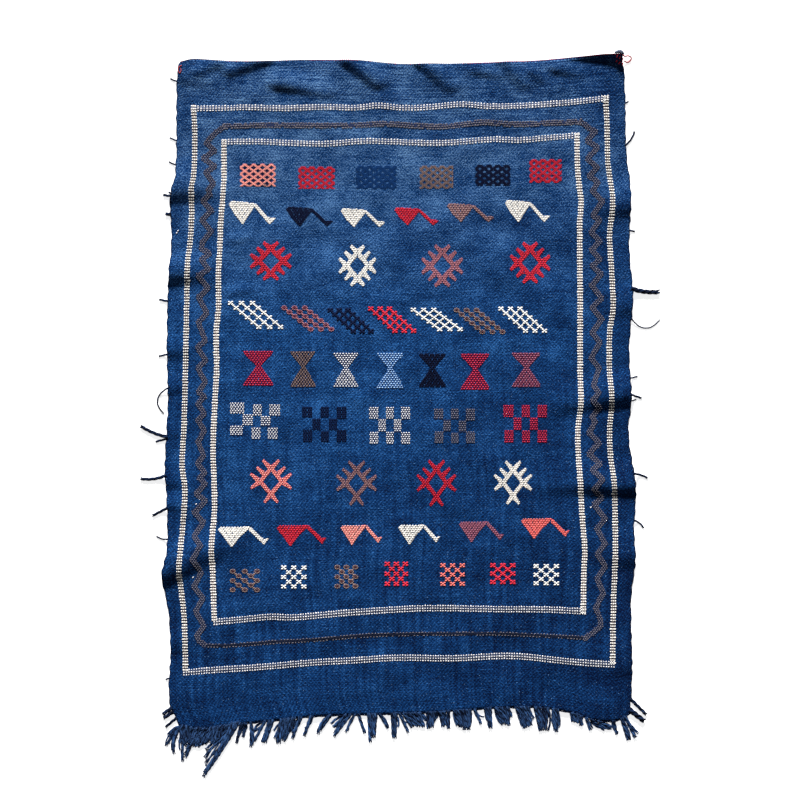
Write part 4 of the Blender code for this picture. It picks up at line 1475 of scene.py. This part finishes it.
# A yarn's fibre in cells a metre and its twist, the painted shade round a stitch's rim against its level, and
# the brightness from a stitch's tone and from the fibre
YARN_CELLS = (300.0, 1500.0)
TWIST_PER_METRE = 2600.0
RIM_PAINTED_SHADE = (0.0, 0.7, 0.30, 0.0)
TONE_BRIGHTNESS = (0.36, 0.82)
FIBRE_BRIGHTNESS = (0.2, 0.8, 0.86, 1.10)

# A loose strand's fibre in cells a metre, and its streaks of the lighter colour
STRAND_CELLS = (70.0, 500.0)
STRAND_STREAKS = (0.35, 0.70, -0.40, 0.60)
TONE_STREAKS = 0.6


def wool_material():
    """Weft-faced heathered wool: slanted beads in staggered rows, slubs, streaks and uneven dye, with painted
    shade towards the fringe end and a painted sheen on the light tones near the hem.
    """
    graph = Graph("blue_wool_weave")
    place = graph.uv("weave")
    across, along, _ = graph.split(place)
    axes = {"across": across, "along": along}
    phase_across = graph.math("MULTIPLY", across, 2000 * math.pi / WEAVE_ACROSS)
    phase_along = graph.math("MULTIPLY", along, 2000 * math.pi / WEAVE_ALONG)
    jitter = graph.math("MULTIPLY", graph.noise(place, 34.0, 3.0, 0.6), WEAVE_JITTER)
    rising, falling = [
        graph.math("SINE", graph.math("ADD", graph.math(way, phase_across, phase_along), jitter))
        for way in ("ADD", "SUBTRACT")]
    lean = graph.span(graph.noise(place, 22.0), 0.40, 0.60, *LEAN)
    fall = graph.math("MULTIPLY", falling, graph.math("SUBTRACT", LEAN_SUM, lean))
    parts = {"bead": graph.math("MULTIPLY_ADD", rising, lean, fall)}
    for name, cells in GROUND_NOISES.items():
        parts[name] = graph.math("SUBTRACT", graph.stretched(place, *cells), 0.5)
    tone = 0.0
    # The first row darkens the tone towards the fringe end as painted shade
    for axis, *change in GROUND_TONES:
        tone = graph.math("ADD", graph.span(axes[axis], *change), tone)
    for name, change in GROUND_WEIGHTS.items():
        tone = graph.math("MULTIPLY_ADD", parts[name], graph.span(along, *change), tone)
    # Painted sheen: the lightest colour is paler near the hem
    high = graph.mix(graph.span(along, 0.20, 0.60), linear(GROUND_HIGH_UPPER_SHEEN), linear(GROUND_HIGH_LOWER))
    dark = graph.mix(graph.span(tone, 0.0, 0.5), linear(GROUND_LOW), linear(GROUND_MIDDLE))
    colour = graph.mix(graph.span(tone, 0.5, 1.0), dark, high)
    speck = graph.span(graph.noise(place, 400.0, 0.0), 0.76, 0.86, 0.0, 0.5)
    colour = graph.mix(speck, colour, linear(SPECK_COLOUR))
    relief = graph.math("MULTIPLY_ADD", parts["bead"], 0.25, parts["fibre"])
    graph.bump(graph.math("MULTIPLY_ADD", parts["slub"], 1.2, relief), WOOL_RELIEF)
    return graph.finish(colour, 0.95)


def yarn_material(name, yarn):
    """A twisted wool yarn; each stitch has a tone of its own, gaps show the yarn's gap colour, partly painted
    shade, and each stitch's rim takes that colour as painted shade.
    """
    graph = Graph(name + "_yarn")
    tone, bed, level = graph.split(graph.look())
    place = graph.uv("yarn")
    along, side, _ = graph.split(place)
    twist = graph.math("SINE", graph.math("MULTIPLY", graph.math("ADD", along, side), TWIST_PER_METRE))
    fibre = graph.stretched(place, *YARN_CELLS)
    # Painted shade: the lower a point of a stitch lies, the more it takes the gap colour
    shade = graph.math("MAXIMUM", bed, graph.span(level, *RIM_PAINTED_SHADE))
    colour = graph.mix(shade, linear(yarn.colour), linear(yarn.gap))
    bright = graph.math("MULTIPLY_ADD", tone, *TONE_BRIGHTNESS)
    bright = graph.math("MULTIPLY", bright, graph.span(fibre, *FIBRE_BRIGHTNESS))
    colour = graph.mix(1.0, colour, graph.join(bright, bright, bright), blend="MULTIPLY")
    graph.bump(graph.math("MULTIPLY_ADD", twist, 0.35, fibre), YARN_RELIEF)
    return graph.finish(colour, 0.9, 0.02)


def strand_material(name, dark, light):
    """Loose wool with streaks of lighter fibre."""
    graph = Graph(name)
    tone, _, _ = graph.split(graph.look())
    fibre = graph.stretched(graph.uv("yarn"), *STRAND_CELLS)
    share = graph.math("MULTIPLY_ADD", tone, TONE_STREAKS, graph.span(fibre, *STRAND_STREAKS), clamp=True)
    colour = graph.mix(share, linear(dark), linear(light))
    graph.bump(fibre, WOOL_RELIEF)
    return graph.finish(colour, 0.9, 0.02)


def floor_material():
    graph = Graph("studio_floor")
    fine = graph.noise(graph.node("ShaderNodeTexCoord").outputs["Object"], 3.0)
    colour = graph.mix(graph.span(fine, 0.3, 0.7), *FLOOR_GREYS)
    graph.shader.inputs["Emission Color"].default_value = (1.0, 1.0, 1.0, 1.0)
    graph.shader.inputs["Emission Strength"].default_value = FLOOR_GLOW
    return graph.finish(colour, 0.8)


# Studio

def build_studio():
    half = FLOOR_SIDE / 2 * MM
    mesh = bpy.data.meshes.new("studio_floor")
    low = -FLOOR_DROP * MM
    mesh.from_pydata([(-half, -half, low), (half, -half, low), (half, half, low), (-half, half, low)], [],
                     [(0, 1, 2, 3)])
    mesh.materials.append(floor_material())
    floor = linked("studio_floor", mesh)

    sun = bpy.data.lights.new("key", "SUN")
    sun.energy = KEY_STRENGTH
    sun.angle = math.radians(KEY_ANGLE)
    lamp = linked("key", sun)
    lamp.rotation_euler = (math.radians(KEY_ELEVATION - 90), 0, math.radians(KEY_AZIMUTH))

    world = bpy.data.worlds.new("fill")
    world.use_nodes = True
    background = world.node_tree.nodes["Background"]
    background.inputs["Color"].default_value = FILL_COLOUR
    background.inputs["Strength"].default_value = FILL_STRENGTH
    bpy.context.scene.world = world

    lens = bpy.data.cameras.new("camera")
    lens.sensor_width = SENSOR
    lens.lens = SENSOR * CAMERA_HEIGHT / (IMAGE_SIDE * PIXEL)
    lens.clip_end = 100.0
    camera = linked("camera", lens)
    camera.location = (0.0, VIEW_CENTRE_Y * MM, CAMERA_HEIGHT * MM)
    bpy.context.scene.camera = camera
    bpy.context.scene.view_settings.view_transform = "Standard"


STRANDS = {
    "dark": ((3, 8, 26), (30, 50, 86)), "blue": ((2, 12, 38), (62, 100, 154)),
    "red": ((120, 24, 40), (206, 96, 96)), "grey": ((16, 20, 36), (104, 116, 138))}
LOOSE_SEED = 41


def main():
    build_studio()
    yarns = {name: yarn_material(name, yarn) for name, yarn in YARNS.items()}
    strands = {name: strand_material(name + "_strand", *colours) for name, colours in STRANDS.items()}
    build_cloth(wool_material())
    build_brocade(yarns)
    varied = random.Random(LOOSE_SEED)
    build_loose_yarn("fringe_yarn", fringe_routes(), "fringe", strands["blue"], varied)
    sides = (("left", LEFT_ENDS, LEFT_EDGE, -1), ("right", RIGHT_ENDS, RIGHT_EDGE, 1))
    for side, ends, edge, outward in sides:
        build_loose_yarn(side + "_weft_yarn", side_routes(ends, edge, outward), side + "_ends",
                         strands["dark"], varied)
    build_selvedges(strands["dark"])
    build_fringe_root_shadow(strands["dark"])
    build_hem_stitches(yarns)
    build_corner(strands["red"], strands["grey"])


main()
